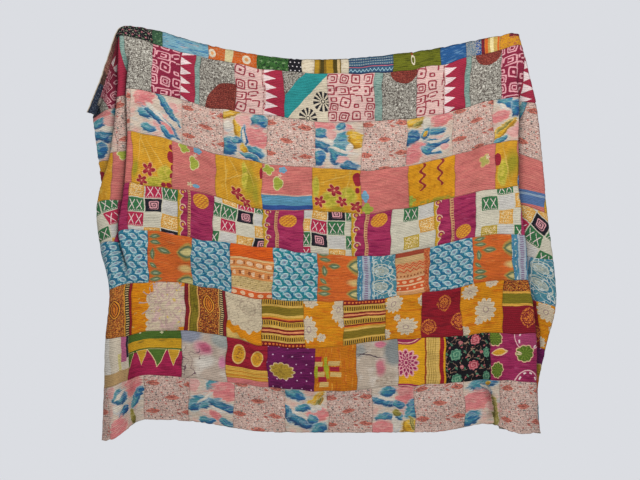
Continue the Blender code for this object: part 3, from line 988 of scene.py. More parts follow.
# Pairs of paint that run into each other along a stroke, with its rim and the pale border round it.
Brush = namedtuple("Brush", "start end rim border")
BRUSHES = {
    "blue": Brush((72, 136, 146), (38, 94, 140), (34, 72, 116), (168, 190, 192)),
    "deep": Brush((50, 114, 140), (32, 76, 128), (34, 58, 102), (160, 184, 190)),
    "salmon": Brush((206, 124, 124), (200, 112, 114), (206, 128, 122), (216, 176, 162)),
    "pink": Brush((210, 160, 152), (206, 144, 140), (206, 150, 142), (214, 184, 172)),
    "yellow": Brush((210, 166, 48), (188, 136, 34), (140, 100, 34), (208, 192, 140)),
    "olive": Brush((150, 138, 62), (122, 112, 48), (92, 86, 44), (200, 188, 136)),
    "cream": Brush((210, 202, 186), (202, 192, 180), (176, 176, 176), (206, 194, 180)),
}
Stroke = namedtuple("Stroke", "brush x y half_width half_height turn", defaults=(0,))
BRUSH_PRINTS = {
    "brush_slopes": (
        ("pink", 168, 48, 22, 26, 20), ("salmon", 55, 22, 42, 44), ("pink", 105, 138, 16, 24, -20),
        ("blue", 149, 50, 84, 12, 52), ("cream", 96, 74, 44, 12, 40), ("blue", 62, 92, 34, 22, 10),
        ("deep", 122, 112, 88, 17, 34), ("cream", 120, 98, 50, 5, 36), ("blue", 66, 152, 28, 17, 15),
        ("blue", 144, 152, 34, 20, 22), ("salmon", 146, 134, 32, 9, 30)),
    "brush_bloom": (
        ("yellow", 28, 14, 44, 14, -22), ("yellow", 54, 66, 36, 18, 80), ("cream", 18, 62, 18, 20),
        ("pink", 88, 34, 36, 22, 15), ("blue", 140, 26, 34, 26, 10), ("salmon", 130, 90, 50, 40, 10),
        ("blue", 18, 136, 36, 30), ("deep", 81, 96, 14, 40, 4), ("cream", 81, 94, 6, 27, 4),
        ("blue", 122, 140, 42, 17, 12), ("blue", 50, 112, 22, 14, -10), ("yellow", 77, 136, 12, 16, -20),
        ("blue", 108, 168, 50, 10, 16)),
    "brush_waves": (
        ("salmon", 34, 10, 52, 16), ("blue", 22, 44, 34, 18, 4), ("pink", 64, 50, 22, 20),
        ("deep", 36, 98, 56, 17, 24), ("cream", 60, 76, 44, 10, 12), ("salmon", 122, 26, 32, 15, 20),
        ("blue", 101, 16, 20, 17, -20), ("blue", 110, 78, 30, 42, 12), ("blue", 92, 124, 38, 40, 26),
        ("cream", 106, 108, 48, 6, 12), ("yellow", 156, 68, 40, 24, 50), ("cream", 134, 92, 13, 13),
        ("pink", 112, 146, 26, 16, -10), ("blue", 12, 138, 26, 24), ("deep", 138, 168, 38, 19)),
    "brush_crest": (
        ("yellow", 36, 14, 38, 22, -12), ("olive", 44, 24, 22, 8, -20), ("salmon", 132, 20, 52, 18, -8),
        ("cream", 74, 34, 16, 30, 10), ("blue", 118, 60, 36, 13, -6), ("deep", 20, 76, 30, 30),
        ("blue", 72, 70, 22, 21), ("yellow", 73, 70, 12, 11), ("deep", 118, 108, 54, 18, -4),
        ("cream", 126, 98, 44, 5, -8), ("salmon", 33, 134, 48, 32, -30), ("blue", 96, 140, 40, 15, 24),
        ("cream", 124, 140, 24, 7, -10), ("pink", 150, 132, 20, 12)),
    "brush_side": (
        ("blue", 52, 16, 46, 22, 30), ("cream", 40, 34, 24, 7, 36), ("deep", 84, 48, 20, 38),
        ("salmon", 26, 66, 38, 22, -14), ("pink", 78, 132, 34, 30), ("yellow", 38, 124, 60, 17, -36),
        ("olive", 44, 112, 40, 6, -36), ("blue", 24, 166, 30, 10, -20), ("blue", 166, 32, 18, 44)),
    "brush_bend": (
        ("salmon", 128, 26, 38, 34), ("blue", 60, 50, 40, 26, 15), ("cream", 62, 40, 28, 7, -20),
        ("blue", 142, 74, 44, 17, -56), ("deep", 76, 104, 30, 13, -24), ("cream", 44, 86, 26, 14, 10),
        ("salmon", 46, 154, 44, 38), ("olive", 124, 146, 12, 36, -8), ("pink", 18, 20, 16, 20)),
    "brush_ripple": (
        ("pink", 14, 24, 22, 24), ("blue", 88, 12, 32, 15, -46), ("salmon", 142, 36, 62, 32),
        ("blue", 40, 96, 46, 28, -24), ("deep", 32, 114, 42, 13, -8), ("cream", 62, 72, 34, 7, -44),
        ("blue", 80, 96, 42, 12, -40), ("deep", 126, 98, 56, 18, 12), ("cream", 118, 116, 40, 6, 14),
        ("salmon", 106, 142, 28, 16, 50), ("blue", 66, 162, 32, 13), ("blue", 144, 162, 34, 16, 8)),
    "brush_swirl": (
        ("blue", 38, 22, 42, 20, 14), ("yellow", 116, 44, 54, 19, -48), ("olive", 120, 50, 36, 6, -48),
        ("salmon", 120, 96, 44, 28, -20), ("cream", 100, 70, 16, 16), ("cream", 124, 62, 13, 13),
        ("deep", 12, 100, 34, 12, 74), ("blue", 66, 76, 32, 17, -14), ("deep", 62, 130, 54, 20, 27),
        ("cream", 62, 110, 42, 5, 30), ("blue", 102, 118, 20, 18, 10), ("blue", 128, 156, 34, 24, -30)),
    "brush_stem": (
        ("blue", 60, 18, 34, 18, -10), ("salmon", 130, 34, 36, 46, 16), ("deep", 48, 56, 56, 16, 18),
        ("cream", 58, 46, 40, 5, 18), ("blue", 102, 68, 20, 14, 10), ("blue", 152, 88, 46, 26, -62),
        ("blue", 46, 116, 38, 16, 5), ("salmon", 40, 156, 54, 24), ("cream", 92, 140, 12, 42),
        ("blue", 98, 110, 20, 10, 50), ("olive", 92, 102, 14, 11), ("yellow", 140, 154, 30, 32, 60),
        ("olive", 150, 138, 26, 8, 60)),
    "brush_corner": (
        ("blue", 72, 14, 56, 24, -10), ("deep", 86, 42, 26, 18, 60), ("yellow", 92, 12, 9, 8),
        ("cream", 84, 30, 20, 6, 30), ("salmon", 46, 80, 60, 36, -12), ("pink", 100, 104, 24, 14),
        ("blue", 28, 142, 42, 24, -8), ("olive", 118, 130, 70, 14, 84)),
}


def brush_painter(strokes):
    """Paints a patch of soft brush strokes on cream."""
    def paint(p):
        p.cloth = p.wobbled(15, 44, detail=4)
        p.paint((206, 162, 150), p.cloud(60, 0.46, 0.16))
        p.paint((186, 180, 170), p.cloud(20, 0.54, 0.1, (2, 0.8)))
        streaks = p.grain(18, detail=3, stretch=(2.2, 0.5)) * 7 - 3.6
        for stroke in records(Stroke, strokes):
            brush = BRUSHES[stroke.brush]
            spot = p.at(*stroke[1:5], turn=stroke.turn)
            inside = 1.2 - spot.x * spot.x - abs(spot.y) * (abs(spot.y) * 0.6 + 0.3) + streaks * 0.3
            p.paint(brush.border, (inside + 0.34).soft(0.6) * 0.85)
            p.paint(brush.start, inside.soft(0.4))
            p.paint(brush.end, (inside - 0.1).soft(0.5) & (spot.x + streaks + 0.3).soft(1))
            p.paint(brush.rim, (inside.soft(0.3) & (0.5 - inside + spot.y * 0.8).soft(0.5)) * 0.85)
            ridge = (0.3 - abs(spot.y + streaks * 0.5 + 0.3)).soft(0.4)
            p.paint(brush.border, (inside.soft(0.5) & ridge) * 0.65)
    return paint


keep_prints(BRUSH_PRINTS, (200, 184, 166), brush_painter)


@cotton(FLORAL, wobble=3)
def small_floral(p):
    p.paint((220, 196, 184), p.cloud(14, 0.55, 0.1))
    p.paint((206, 148, 136), p.cloud(9, 0.6, 0.05, (1.6, 0.8)))
    p.paint((140, 116, 110), p.scribble(9, 0.03))
    for x, y in ((35, 28), (-35, -27)):
        spot = p.tiled(140, 110).at(x, y, 29, 10)
        body = spot.leaf()
        p.paint((202, 128, 112), body)
        p.paint((166, 88, 74), body & p.cloud(6, 0.44, 0.08, (1.6, 0.8)))
        p.paint((118, 64, 60), spot.at(-0.1, 0, 0.3, 0.34).disc() & p.cloud(5, 0.5, 0.06))
        for turn in (-24, 24):
            p.paint((176, 100, 88), p.tiled(140, 110).at(x - 40, y + turn / 3, 11, 3.4, turn=turn).leaf())
    p.paint((178, 100, 90), p.tiled(39, 46, 0.5).at(9, 17, 5, 3.6).petals(4))
    p.paint((84, 76, 76), p.tiled(26, 23, 0.5).at(4, 5, 2.2, 1.9).disc())
    p.paint((112, 124, 118), p.tiled(47, 31, 0.5).at(-6, 4, 4.4, 2.2, turn=30).leaf())


def salmon_weave(p):
    """Streaks along and across salmon cotton."""
    p.paint((186, 96, 94), p.cloud(20, 0.48, 0.24, (3, 0.4)))
    p.paint((204, 124, 112), p.cloud(30, 0.54, 0.2, (2, 0.5)))


def lime_leaf_pair(p, x, y, lean):
    """A lime leaf over a larger one, with a blue bloom beside them."""
    for colour, rim in (((204, 196, 140), 4), (LIME, 0)):
        small = p.at(x, y, 20 + rim, 18 + rim, turn=lean).petals(4, 0.2)
        large = p.at(x + 34, y + 52, 19 + rim, 27 + rim).petals(3, 0.15)
        p.paint(colour, small | large)
    p.paint((208, 176, 150), p.at(x + 42, y + 20, 9, 8).petals(5))
    p.paint(SKY, p.at(x + 54, y - 2, 17, 14).petals(5, 0.15))


@cotton(SALMON)
def salmon_sprig(p):
    salmon_weave(p)
    lime_leaf_pair(p, 46, 12, 20)
    p.paint(SKY, p.at(94, 156, 13, 8).disc())
    p.paint((208, 190, 150), p.at(72, 152, 12, 12).petals(5))


@cotton(SALMON)
def salmon_plain(p):
    salmon_weave(p)
    p.paint(SKY, p.at(14, 108, 15, 26).petals(4, 0.15))
    p.paint(LIME, p.at(18, 160, 24, 26).petals(4, 0.2))


@cotton(SALMON)
def salmon_bloom(p):
    salmon_weave(p)
    p.paint((200, 160, 110), p.at(118, 62, 24, 30, turn=30).petals(4, 0.2))
    p.paint((168, 160, 84), p.at(118, 62, 19, 24, turn=30).petals(4, 0.2))
    p.paint((206, 186, 150), p.at(134, 50, 10, 12).petals(5))


@cotton(SALMON)
def salmon_bar(p):
    salmon_weave(p)
    lime_leaf_pair(p, 22, 20, -10)
    p.paint((204, 158, 140), p.rows(117, 3))
    p.paint((82, 136, 162), p.rows(146, 27))
    p.paint((44, 76, 138), p.rows(168, 9))
    p.paint((96, 152, 182), p.rows(134, 8) & (p.grain(16, stretch=(3, 0.5)) > 0.5))


@cotton(SALMON)
def salmon_flap(p):
    salmon_weave(p)
    p.paint((84, 112, 156), p.at(130, 150, 190, 26, turn=-6).box())
    p.paint((140, 160, 180), p.at(130, 138, 190, 4, turn=-6).box())


# Something drawn at a place of a print: its kind, middle, half sizes and turn.
Area = namedtuple("Area", "kind x y half_width half_height turn", defaults=(0,))

# The marigold print, patch by patch: red flowers, lime and olive areas, and pale veins.
MARIGOLD_PRINTS = {
    "marigold_posy": (
        ("lime", 132, 128, 32, 30), ("lime", 88, 162, 34, 20), ("olive", 12, 128, 14, 44),
        ("vein", 60, 70, 3, 90, -24), ("vein", 104, 84, 2.5, 80, -36), ("vein", 30, 40, 2.5, 60, 10),
        ("flower", 65, 121, 27, 24), ("flower", 42, 162, 21, 19, 20), ("berry", 153, 62, 17, 21),
        ("berry", 158, 26, 8, 10), ("berry", 160, 100, 8, 12), ("berry", 158, 130, 7, 10),
        ("berry", 150, 168, 12, 10), ("berry", 126, 170, 11, 9)),
    "marigold_branch": (
        ("olive", 128, 84, 40, 88, -6), ("olive", 160, 120, 22, 70), ("lime", 110, 60, 12, 50, -4),
        ("vein", 38, 90, 3, 110, -3), ("vein", 74, 76, 3, 56, 58), ("vein", 60, 30, 2.5, 60, -30),
        ("vein", 128, 46, 2, 60, -28), ("flower", 86, 136, 27, 24, 10), ("flower", 118, 162, 22, 18, 40),
        ("berry", 178, 40, 7, 22)),
    "marigold_bed": (
        ("lime", 14, 80, 13, 44), ("lime", 70, 128, 34, 36, 20), ("lime", 142, 108, 34, 40),
        ("olive", 100, 166, 40, 16), ("vein", 90, 40, 2.5, 70, 70), ("vein", 140, 60, 2.5, 60, 20),
        ("flower", 87, 88, 30, 24, 25), ("flower", 31, 140, 24, 24), ("flower", 118, 134, 23, 23, 30),
        ("flower", 174, 152, 24, 24), ("berry", 182, 38, 18, 28), ("berry", 180, 84, 8, 12)),
    "marigold_edge": (
        ("olive", 60, 90, 40, 70, 10), ("lime", 28, 120, 20, 50), ("vein", 40, 80, 2.5, 90, -12),
        ("berry", 8, 66, 14, 24), ("flower", 120, 130, 24, 22)),
}


def marigold_painter(areas):
    """Paints red flowers and green areas on gold."""
    def paint(p):
        p.paint((188, 132, 30), p.cloud(34, 0.5, 0.2, (0.7, 2)))
        p.paint((206, 166, 70), p.cloud(26, 0.58, 0.16, (0.7, 1.6)))
        for area in records(Area, areas):
            spot = p.at(*area[1:5], turn=area.turn)
            if area.kind == "lime":
                p.paint((196, 178, 72), (1.15 - spot.length()).soft(0.3))
                p.paint((164, 158, 44), (1 - spot.length()).soft(0.3) & p.cloud(16, 0.36, 0.2))
            elif area.kind == "olive":
                p.paint((150, 138, 34), (1 - spot.length()).soft(0.7))
            elif area.kind == "vein":
                p.paint((214, 178, 92), spot.soft_leaf(1.6, 1.6) * 0.7)
            elif area.kind == "flower":
                p.paint((206, 156, 96), spot.at(0, 0, 1.16).petals(5, 0.26))
                p.paint(FLOWER_RED, spot.petals(5, 0.32))
                p.paint((170, 66, 66), spot.at(0, 0, 0.5).petals(5, 0.4))
                p.paint((206, 150, 110), spot.at(0, 0, 0.14).disc())
            else:
                p.paint(FLOWER_RED, spot.disc())
    return paint


keep_prints(MARIGOLD_PRINTS, MARIGOLD, marigold_painter, wobble=2.6)


@cotton((206, 142, 22))
def mustard_waves(p):
    p.paint((190, 124, 16), p.cloud(34, 0.5, 0.14, (0.7, 2)))
    for middle, height in ((54, 86), (126, 76)):
        line = p.cloth.y.wave(46) * 9 + middle
        reach = p.rows(height - 24, 60)
        p.paint((206, 152, 52), (abs(p.cloth.x - line) < 7.5) & reach)
        p.paint((140, 44, 40), (abs(p.cloth.x - line) < 5.6) & reach)
    p.paint((150, 136, 40), (p.cloth.y - 158).soft(10) & p.cloud(18, 0.44, 0.1))
    p.paint(LIME, p.at(2, 152, 24, 22).petals(5, 0.2))


CHECK_CELL = (65, 56.5)
CHECK_GAP = 0.93
Cell = namedtuple("Cell", "kind column row")
CHECK_PRINTS = {
    "check_dense": (
        ("orange", 0, 0), ("red", 1, 0), ("green", 2, 0), ("green", 0, 1), ("black", 1, 1),
        ("white", 2, 1), ("red", 0, 2), ("orange", 2, 2), ("orange", 1, 3), ("black", 2, 3),
        ("white", 0, 3), ("green", 3, 3), ("green", 3, 1)),
    "check_sparse": (
        ("green", 1, 0), ("white", 2, 0), ("orange", 2, 1), ("olive", 1, 2), ("green", 3, 2)),
    "check_mixed": (
        ("green", 1, 0), ("green", 0, 1), ("white", 1, 1), ("orange", 2, 1), ("orange", 1, 2),
        ("olive", 0, 3), ("green", 2, 3), ("white", 1, 3)),
}
CELL_COLOURS = {
    "orange": (206, 150, 62), "red": (174, 40, 72), "green": (52, 108, 66), "black": (24, 24, 34),
    "white": (186, 186, 196), "olive": (178, 150, 48),
}


def check_painter(cells):
    """Paints a checked cloth with crosses, rings and scribbles in its cells."""
    def paint(p):
        width, height = CHECK_CELL
        sheet = p.cell(4 * width, 4 * height)
        for cell in records(Cell, cells):
            block = sheet.at((cell.column + 0.5) * width, (cell.row + 0.5) * height, width / 2, height / 2)
            inner = block.at(0, 0, CHECK_GAP, CHECK_GAP)
            share = 0.4 if cell.kind == "white" else 1
            p.paint(CELL_COLOURS[cell.kind], inner.box() * share)
            if cell.kind in ("red", "green"):
                left, right = (inner.at(x, 0, 0.34, 0.72).cross(0.15) for x in (-0.46, 0.46))
                crosses = left | right
                p.paint((224, 204, 198), crosses | (inner.at(0, 0.86, 0.9, 0.05).box() & p.dashes(7, 0.5)))
            elif cell.kind == "black":
                p.paint((212, 150, 156), inner.at(0, 0, 0.62, 0.66).spiral(2.4, 0.6))
            else:
                p.paint((224, 200, 150), inner.at(0, 0, 0.84).box() & p.scribble(8, 0.05) & (share > 0.5))
    return paint


keep_prints(CHECK_PRINTS, (198, 192, 172), check_painter, wobble=1.6)


def magenta_weave(p):
    """Streaks in magenta cotton."""
    p.paint((132, 22, 70), p.cloud(22, 0.5, 0.12, (3, 0.5)))
    p.paint((166, 64, 104), p.cloud(18, 0.6, 0.1, (2.5, 0.5)))


@cotton(MAGENTA)
def magenta_waves(p):
    magenta_weave(p)
    lobes = p.cloth.y.wave(62) * 6 + 14
    p.paint((206, 178, 130), p.cloth.x - lobes < 4)
    p.paint((190, 148, 34), p.cloth.x - lobes < 0)
    curl = p.tiled(BEYOND, 62).at(20, 8, 14, 14)
    p.paint((150, 36, 74), curl.disc())
    p.paint((214, 178, 150), curl.ring(0.72) & (curl.x + curl.y < 0.9))
    p.paint((200, 150, 60), curl.at(0, 0, 0.36).disc())


@cotton(MAGENTA)
def magenta_disc(p):
    magenta_weave(p)
    p.paint((196, 150, 104), p.columns(8, 7))
    p.paint((150, 60, 66), p.columns(10, 4) & p.dashes(10, 0.45, down=True))
    disc = p.at(54, 46, 31, 28)
    p.paint((188, 112, 44), disc.disc())
    p.paint((222, 160, 44), disc.disc() & p.tiled(14, 8, 0.5).at(0, 0, 5.5, 2.6, turn=-20).disc())
    p.paint((206, 140, 60), disc.ring(0.88) & ((disc.angle() * 5).sine() > -0.3))


def leaf_rows(p, ground_shade):
    """Small pale leaves in rows that lean one way and then the other."""
    p.paint(ground_shade, p.cloud(22, 0.48, 0.16))
    for slide, lean in ((0, -28), (24, 26)):
        cell = p.cloth.at(slide * 0.8, slide).tiled(42, 48)
        p.paint((92, 150, 164), cell.at(4, 8, 17, 4, turn=lean + 6).leaf())
        p.paint((176, 196, 196), cell.at(0, 0, 18, 9.5, turn=lean).leaf())
        p.paint((122, 158, 172), cell.at(1, 0.5, 12.5, 6, turn=lean).leaf())
        p.paint((122, 116, 138), cell.at(2, 0, 4.5, 2.6, turn=lean).disc())
        p.paint((134, 176, 182), cell.at(-17, -6, 8, 3.4, turn=lean + 60).leaf())


@cotton((40, 112, 136), wobble=2.6)
def blue_leaves(p):
    leaf_rows(p, (32, 94, 134))


@cotton((30, 122, 130), wobble=2.6)
def teal_leaves(p):
    leaf_rows(p, (28, 98, 128))


# Leaves on the orange print: green outlines round pale middles.
ORANGE_LEAVES = (
    ("left", 27, 20, 20, 7, -8), ("left", 28, 42, 20, 7, 4), ("left", 62, 68, 23, 9, 4),
    ("left", 23, 86, 20, 8, 86), ("left", 22, 128, 16, 6, 40), ("left", 28, 156, 22, 8, 6),
    ("left", 26, 178, 22, 7),
)


@cotton((202, 98, 36), wobble=2.6)
def orange_leaves(p):
    p.paint((184, 82, 38), p.cloud(18, 0.5, 0.2, (3, 0.5)))
    p.paint((206, 132, 70), p.cloud(20, 0.6, 0.1, (3, 0.5)))
    for leaf in records(Area, ORANGE_LEAVES):
        spot = p.at(*leaf[1:5], turn=leaf.turn)
        p.paint((150, 124, 66), spot.soft_leaf(1.7, 0.5))
        p.paint((92, 108, 78), spot.soft_leaf(1.15, 0.3))
        p.paint((150, 168, 132), spot.soft_leaf(0.5, 0.3))
    for y, half_height in ((64, 30), (182, 22)):
        spot = p.at(156, y, 40, half_height)
        p.paint((166, 134, 66), spot.soft_leaf(1.4, 0.3))
        p.paint((86, 106, 76), spot.soft_leaf(1, 0.2))
        p.paint((196, 182, 122), spot.soft_leaf(0.66, 0.3))
    p.paint((210, 176, 110), p.glow(150, 132, 40, 20, 0.6))


@cotton((206, 132, 72))
def orange_ovals(p):
    p.paint((216, 92, 22), p.rows(20, 32))
    p.paint((192, 76, 22), p.rows(20, 32) & p.cloud(18, 0.54, 0.05, (3, 0.5)))
    p.paint((216, 178, 122), p.rows(54, 3.5, 89, 3))
    beads = p.tiled(36, BEYOND)
    p.paint((150, 84, 44), beads.at(18, 72, 5, 7).disc() | beads.at(0, 107, 5, 7).disc())
    p.paint((224, 186, 148), beads.at(0, 72, 12, 8).disc() | beads.at(18, 107, 12, 8).disc())
    p.paint((190, 164, 108), p.rows(141, 20))
    p.paint((160, 134, 84), p.rows(141, 18) & p.tiled(24, 14, 0.5).at(0, 0, 8, 3, turn=-30).leaf())
    p.paint((206, 178, 126), p.rows(141, 18) & p.scribble(10, 0.04))
    p.paint((206, 92, 40), p.rows(180, 16))
    p.paint((222, 180, 142), beads.at(8, 178, 12, 7).disc() | p.rows(163, 2))


@cotton((72, 130, 144), wobble=3)
def blue_paisley(p):
    p.paint((46, 108, 138), p.cloud(34, 0.52, 0.1))
    for y in (66, 138):
        paisley = p.at(98, y, 40, 27, turn=18)
        p.paint((180, 186, 172), paisley.at(0, 0, 1.14).disc())
        p.paint((56, 120, 142), paisley.disc())
        p.paint((176, 182, 168), paisley.at(-0.1, 0, 0.78).disc())
        p.paint((146, 160, 154), paisley.at(-0.1, 0, 0.62).disc())
        p.paint((176, 178, 160), paisley.at(-0.2, 0, 0.34).ring(0.5))
        p.paint((190, 198, 190), p.at(140, y + 36, 22, 8, turn=40).ring(0.6))
    p.paint((190, 200, 196), p.columns(64, 2) | p.scribble(26, 0.02))
    p.paint((160, 170, 178), p.columns(35, 16))
    p.paint((122, 92, 126), p.columns(35, 7) & p.dashes(8, 0.5, down=True))
    p.paint((66, 122, 152), p.columns(18, 2.5, 54, 3, 6, 3))


@cotton((204, 146, 96))
def orange_ornate(p):
    p.paint((150, 62, 40), p.rows(10, 9))
    p.paint((192, 158, 108), p.rows(32, 13))
    zigzag = abs((p.cloth.x % 26) - 13)
    for middle in (50, 60, 76):
        p.paint((196, 74, 40), abs(p.cloth.y - zigzag * 0.9 - middle) < 2.6)
    p.paint((150, 84, 48), p.rows(104, 4) & p.dashes(13, 0.5))
    p.paint((222, 178, 136), p.rows(116, 3, 146, 3, 172, 2.5))
    p.paint((198, 84, 40), p.rows(131, 11, 160, 10))
    beads = p.tiled(30, BEYOND)
    p.paint((224, 178, 134), beads.at(0, 131, 10, 6).disc() | beads.at(15, 160, 9, 5).disc())
    p.paint((204, 122, 70), (p.cloth.x - 108).soft(6))
    p.paint((168, 70, 36), (p.cloth.x > 110) & p.scribble(9, 0.08))


RUST_GROUND = (204, 116, 40)


def ornate(p, mask):
    """Fine curls of brown and gold inside a mask."""
    p.paint(RUST_GROUND, mask)
    p.paint((104, 40, 24), mask & (p.scribble(9, 0.07) | p.scribble(5, 0.05)))
    p.paint((216, 164, 66), mask & p.cloud(5, 0.6, 0.03))


def heart(p, x, y, half_width, half_height):
    """A pointed ornament in rings of brown and gold."""
    spot = p.at(x, y, half_height, half_width, turn=90)
    reach = spot.x * spot.x + abs(spot.y)
    p.paint((92, 34, 20), reach < 1)
    p.paint((214, 142, 44), (reach < 0.86) & (reach > 0.66))
    p.paint((200, 116, 34), reach < 0.5)
    p.paint((110, 44, 22), (reach < 0.3) & (reach > 0.18))


def stitched_ladder(p, middle, half_width, ground):
    """A dark strip crossed by short pale bars, running down the cloth."""
    p.paint(ground, p.columns(middle, half_width))
    p.paint((206, 176, 120), p.columns(middle, half_width * 0.7) & p.dashes(8.5, 0.42, down=True))


@cotton((214, 130, 20))
def rust_panel(p):
    ornate(p, p.columns(105, 90))
    p.paint((212, 134, 56), (p.columns(105, 90) & p.cloud(9, 0.46, 0.1)) * 0.6)
    heart(p, 152, 84, 30, 40)
    heart(p, 60, 84, 30, 40)
    p.paint((212, 150, 50), p.columns(197, 2.5))
    stitched_ladder(p, 208, 9, (40, 44, 26))
    p.paint((134, 26, 34), p.columns(222, 6))


@cotton((120, 24, 32))
def rust_border(p):
    p.paint((206, 158, 84), p.columns(16, 2, 50, 2.5, 133, 2))
    p.paint((122, 108, 26), p.columns(33, 14))
    p.paint((98, 86, 18), p.columns(33, 14) & p.cloud(12, 0.52, 0.05, (0.5, 3)))
    ornate(p, p.columns(92, 38))
    heart(p, 89, 66, 26, 40)
    stitched_ladder(p, 143, 8, (48, 30, 28))


@cotton((190, 146, 50))
def border_stripes(p):
    p.paint((124, 104, 26), p.rows(43, 15))
    p.paint((206, 168, 84), p.rows(23, 3, 62, 4, 108, 4, 138, 3, 163, 3))
    p.paint((206, 110, 40), p.rows(75, 3))
    p.paint((118, 20, 22), p.rows(80, 3, 117, 3.5, 131, 3.5, 176, 10))
    p.paint((222, 142, 90), p.rows(124, 3.5))
    p.paint((214, 116, 50), p.tiled(13, BEYOND).at(0, 176, 4, 4).disc())
    for middle, half_height in ((10, 10), (94, 9), (151, 9)):
        p.paint((188, 144, 52), p.rows(middle, half_height))
        p.paint((48, 36, 14), p.rows(middle, half_height - 1) & p.dashes(8.5, 0.45))


# Lace-like cream flowers on yellow, for three patches side by side, each 180 mm from the last.
YELLOW_FLOWERS = (
    ("large", 18, 112, 34, 52), ("small", 64, 146, 17, 18), ("large", 134, 36, 30, 50, 10),
    ("small", 26, 6, 30, 22, 20), ("small", 146, 90, 18, 22), ("large", 212, 34, 36, 40),
    ("large", 268, 130, 44, 36, -20), ("small", 322, 30, 16, 22), ("small", 228, 96, 16, 14),
    ("small", 186, 160, 18, 22), ("large", 396, 30, 34, 30), ("large", 456, 104, 46, 42, -30),
    ("small", 478, 8, 24, 16), ("small", 424, 140, 18, 16), ("small", 366, 172, 20, 22),
)


def lace(p, spot, count):
    """A lobed cream flower with fine lines that spread from its middle."""
    p.paint((208, 192, 160), spot.petals(count, 0.13))
    rays = (spot.angle() * (count * 3)).math("COSINE") > 0.55
    p.paint((180, 156, 142), rays & spot.ring(0.35) & spot.at(0, 0, 0.86).petals(count, 0.13))
    p.paint((170, 146, 136), spot.at(0, 0, 0.3).ring(0.6))


def yellow_weave(p):
    """Streaks in yellow cotton."""
    p.paint((196, 108, 6), p.cloud(24, 0.5, 0.14, (2.5, 0.5)))


@cotton((208, 134, 14), wobble=5)
def cream_on_yellow(p):
    yellow_weave(p)
    for flower in records(Area, YELLOW_FLOWERS):
        lace(p, p.at(*flower[1:5], turn=flower.turn), 11 if flower.kind == "large" else 7)


@cotton((214, 134, 8), wobble=5)
def cream_flower(p):
    yellow_weave(p)
    petals = p.at(150, 92, 96, 108).petals(9, 0.1) | p.at(104, 168, 50, 30).petals(5, 0.12)
    p.paint((204, 186, 158), petals)
    flower = p.at(138, 78, 110, 84)
    rays = ((flower.angle() * 12).math("COSINE") > 0.93) & flower.ring(0.4)
    rings = p.at(128, 48, 26, 22).ring(0.88) | p.at(128, 48, 14, 12).ring(0.78)
    p.paint((180, 152, 144), rays | rings)
    p.paint((186, 158, 146), p.scribble(24, 0.03) & (p.cloth.x > 70))
    p.paint((206, 170, 164), p.cloud(30, 0.5, 0.2) & (p.cloth.x > 90))
    p.paint((206, 178, 96), p.cloud(20, 0.64, 0.05))


@cotton((204, 188, 158), wobble=4)
def yellow_corner(p):
    rings = p.at(84, 44, 34, 30).ring(0.9) | p.at(84, 44, 18, 16).ring(0.85)
    p.paint((176, 158, 134), p.scribble(22, 0.02) | rings)
    slope = abs(p.cloth.x - 84) * 0.46
    edge = p.cloth.y + slope + p.cloth.x.wave(34) * 5
    p.paint((214, 134, 12), edge > 150)
    p.paint((206, 172, 96), (edge > 184) & (p.cloth.x < 96))


def medallion(p, x, y, lean=-90):
    """A heart-shaped ornament in orange lines."""
    shape = p.at(x, y, 34, 30, turn=lean)
    body = shape.leaf() | shape.at(0.32, 0, 0.62, 0.84).disc()
    p.paint((206, 118, 46), body)
    p.paint((126, 24, 34), body & (p.scribble(8, 0.06) | shape.at(0, 0, 0.72).ring(0.84)))


@cotton((138, 18, 34))
def medallions(p):
    p.paint((112, 10, 28), p.cloud(24, 0.5, 0.12, (3, 0.5)))
    for x, y in ((88, 52), (28, 142), (144, 130)):
        medallion(p, x, y)


@cotton((128, 16, 34))
def stripe_medallion(p):
    medallion(p, 94, 132)
    ornate(p, p.rows(20, 22))
    p.paint((206, 156, 62), p.rows(46, 4, 88, 4))
    p.paint((118, 106, 22), p.rows(67, 17))


# Teeth that hang from the stripes: the place of the top edge's middle, half its width, and the length.
Tooth = namedtuple("Tooth", "kind x half_width length")
TEETH = (
    ("green", 2, 20, 56), ("yellow", 54, 18, 58), ("green", 110, 34, 66), ("yellow", 176, 22, 58),
)


@cotton((162, 30, 74))
def green_teeth(p):
    p.paint((140, 20, 62), p.cloud(20, 0.5, 0.12, (3, 0.5)))
    p.paint((70, 100, 34), p.rows(14, 20))
    p.paint((198, 150, 30), p.rows(52, 21))
    p.paint((148, 116, 30), p.rows(40, 4) & p.cloud(12, 0.5, 0.1, (3, 1)))
    p.paint((70, 96, 34), p.rows(73, 5))
    for tooth in records(Tooth, TEETH):
        spot = p.at(tooth.x, 74 + tooth.length / 2, tooth.length / 2, tooth.half_width, turn=90)
        p.paint((216, 190, 140), spot.at(0.05, 0, 1.1, 1.14).tooth())
        p.paint((74, 104, 34) if tooth.kind == "green" else (200, 152, 40), spot.tooth())
    p.paint((206, 200, 160), p.at(130, 6, 7, 6).petals(4) | p.at(50, 2, 5, 4).disc())


@cotton((186, 168, 152), wobble=6)
def rose_grey(p):
    p.paint((206, 194, 180), p.cloud(46, 0.5, 0.16))
    p.paint((140, 144, 158), p.glow(24, 12, 60, 40, 0.4))
    p.paint((158, 162, 156), p.glow(150, 16, 50, 44, 0.4))
    p.paint((208, 150, 158), p.glow(82, 62, 46, 34, 0.4, turn=20))
    p.paint((194, 98, 124), p.glow(86, 56, 32, 24, 0.5, turn=14))
    p.paint((214, 206, 194), p.glow(92, 112, 54, 30, 0.5, turn=-20))
    p.paint((206, 132, 158), p.glow(160, 102, 20, 30, 0.5))
    p.paint((116, 92, 96), p.scribble(40, 0.014) & (p.cloth.y > 60) & (p.cloth.x < 70))


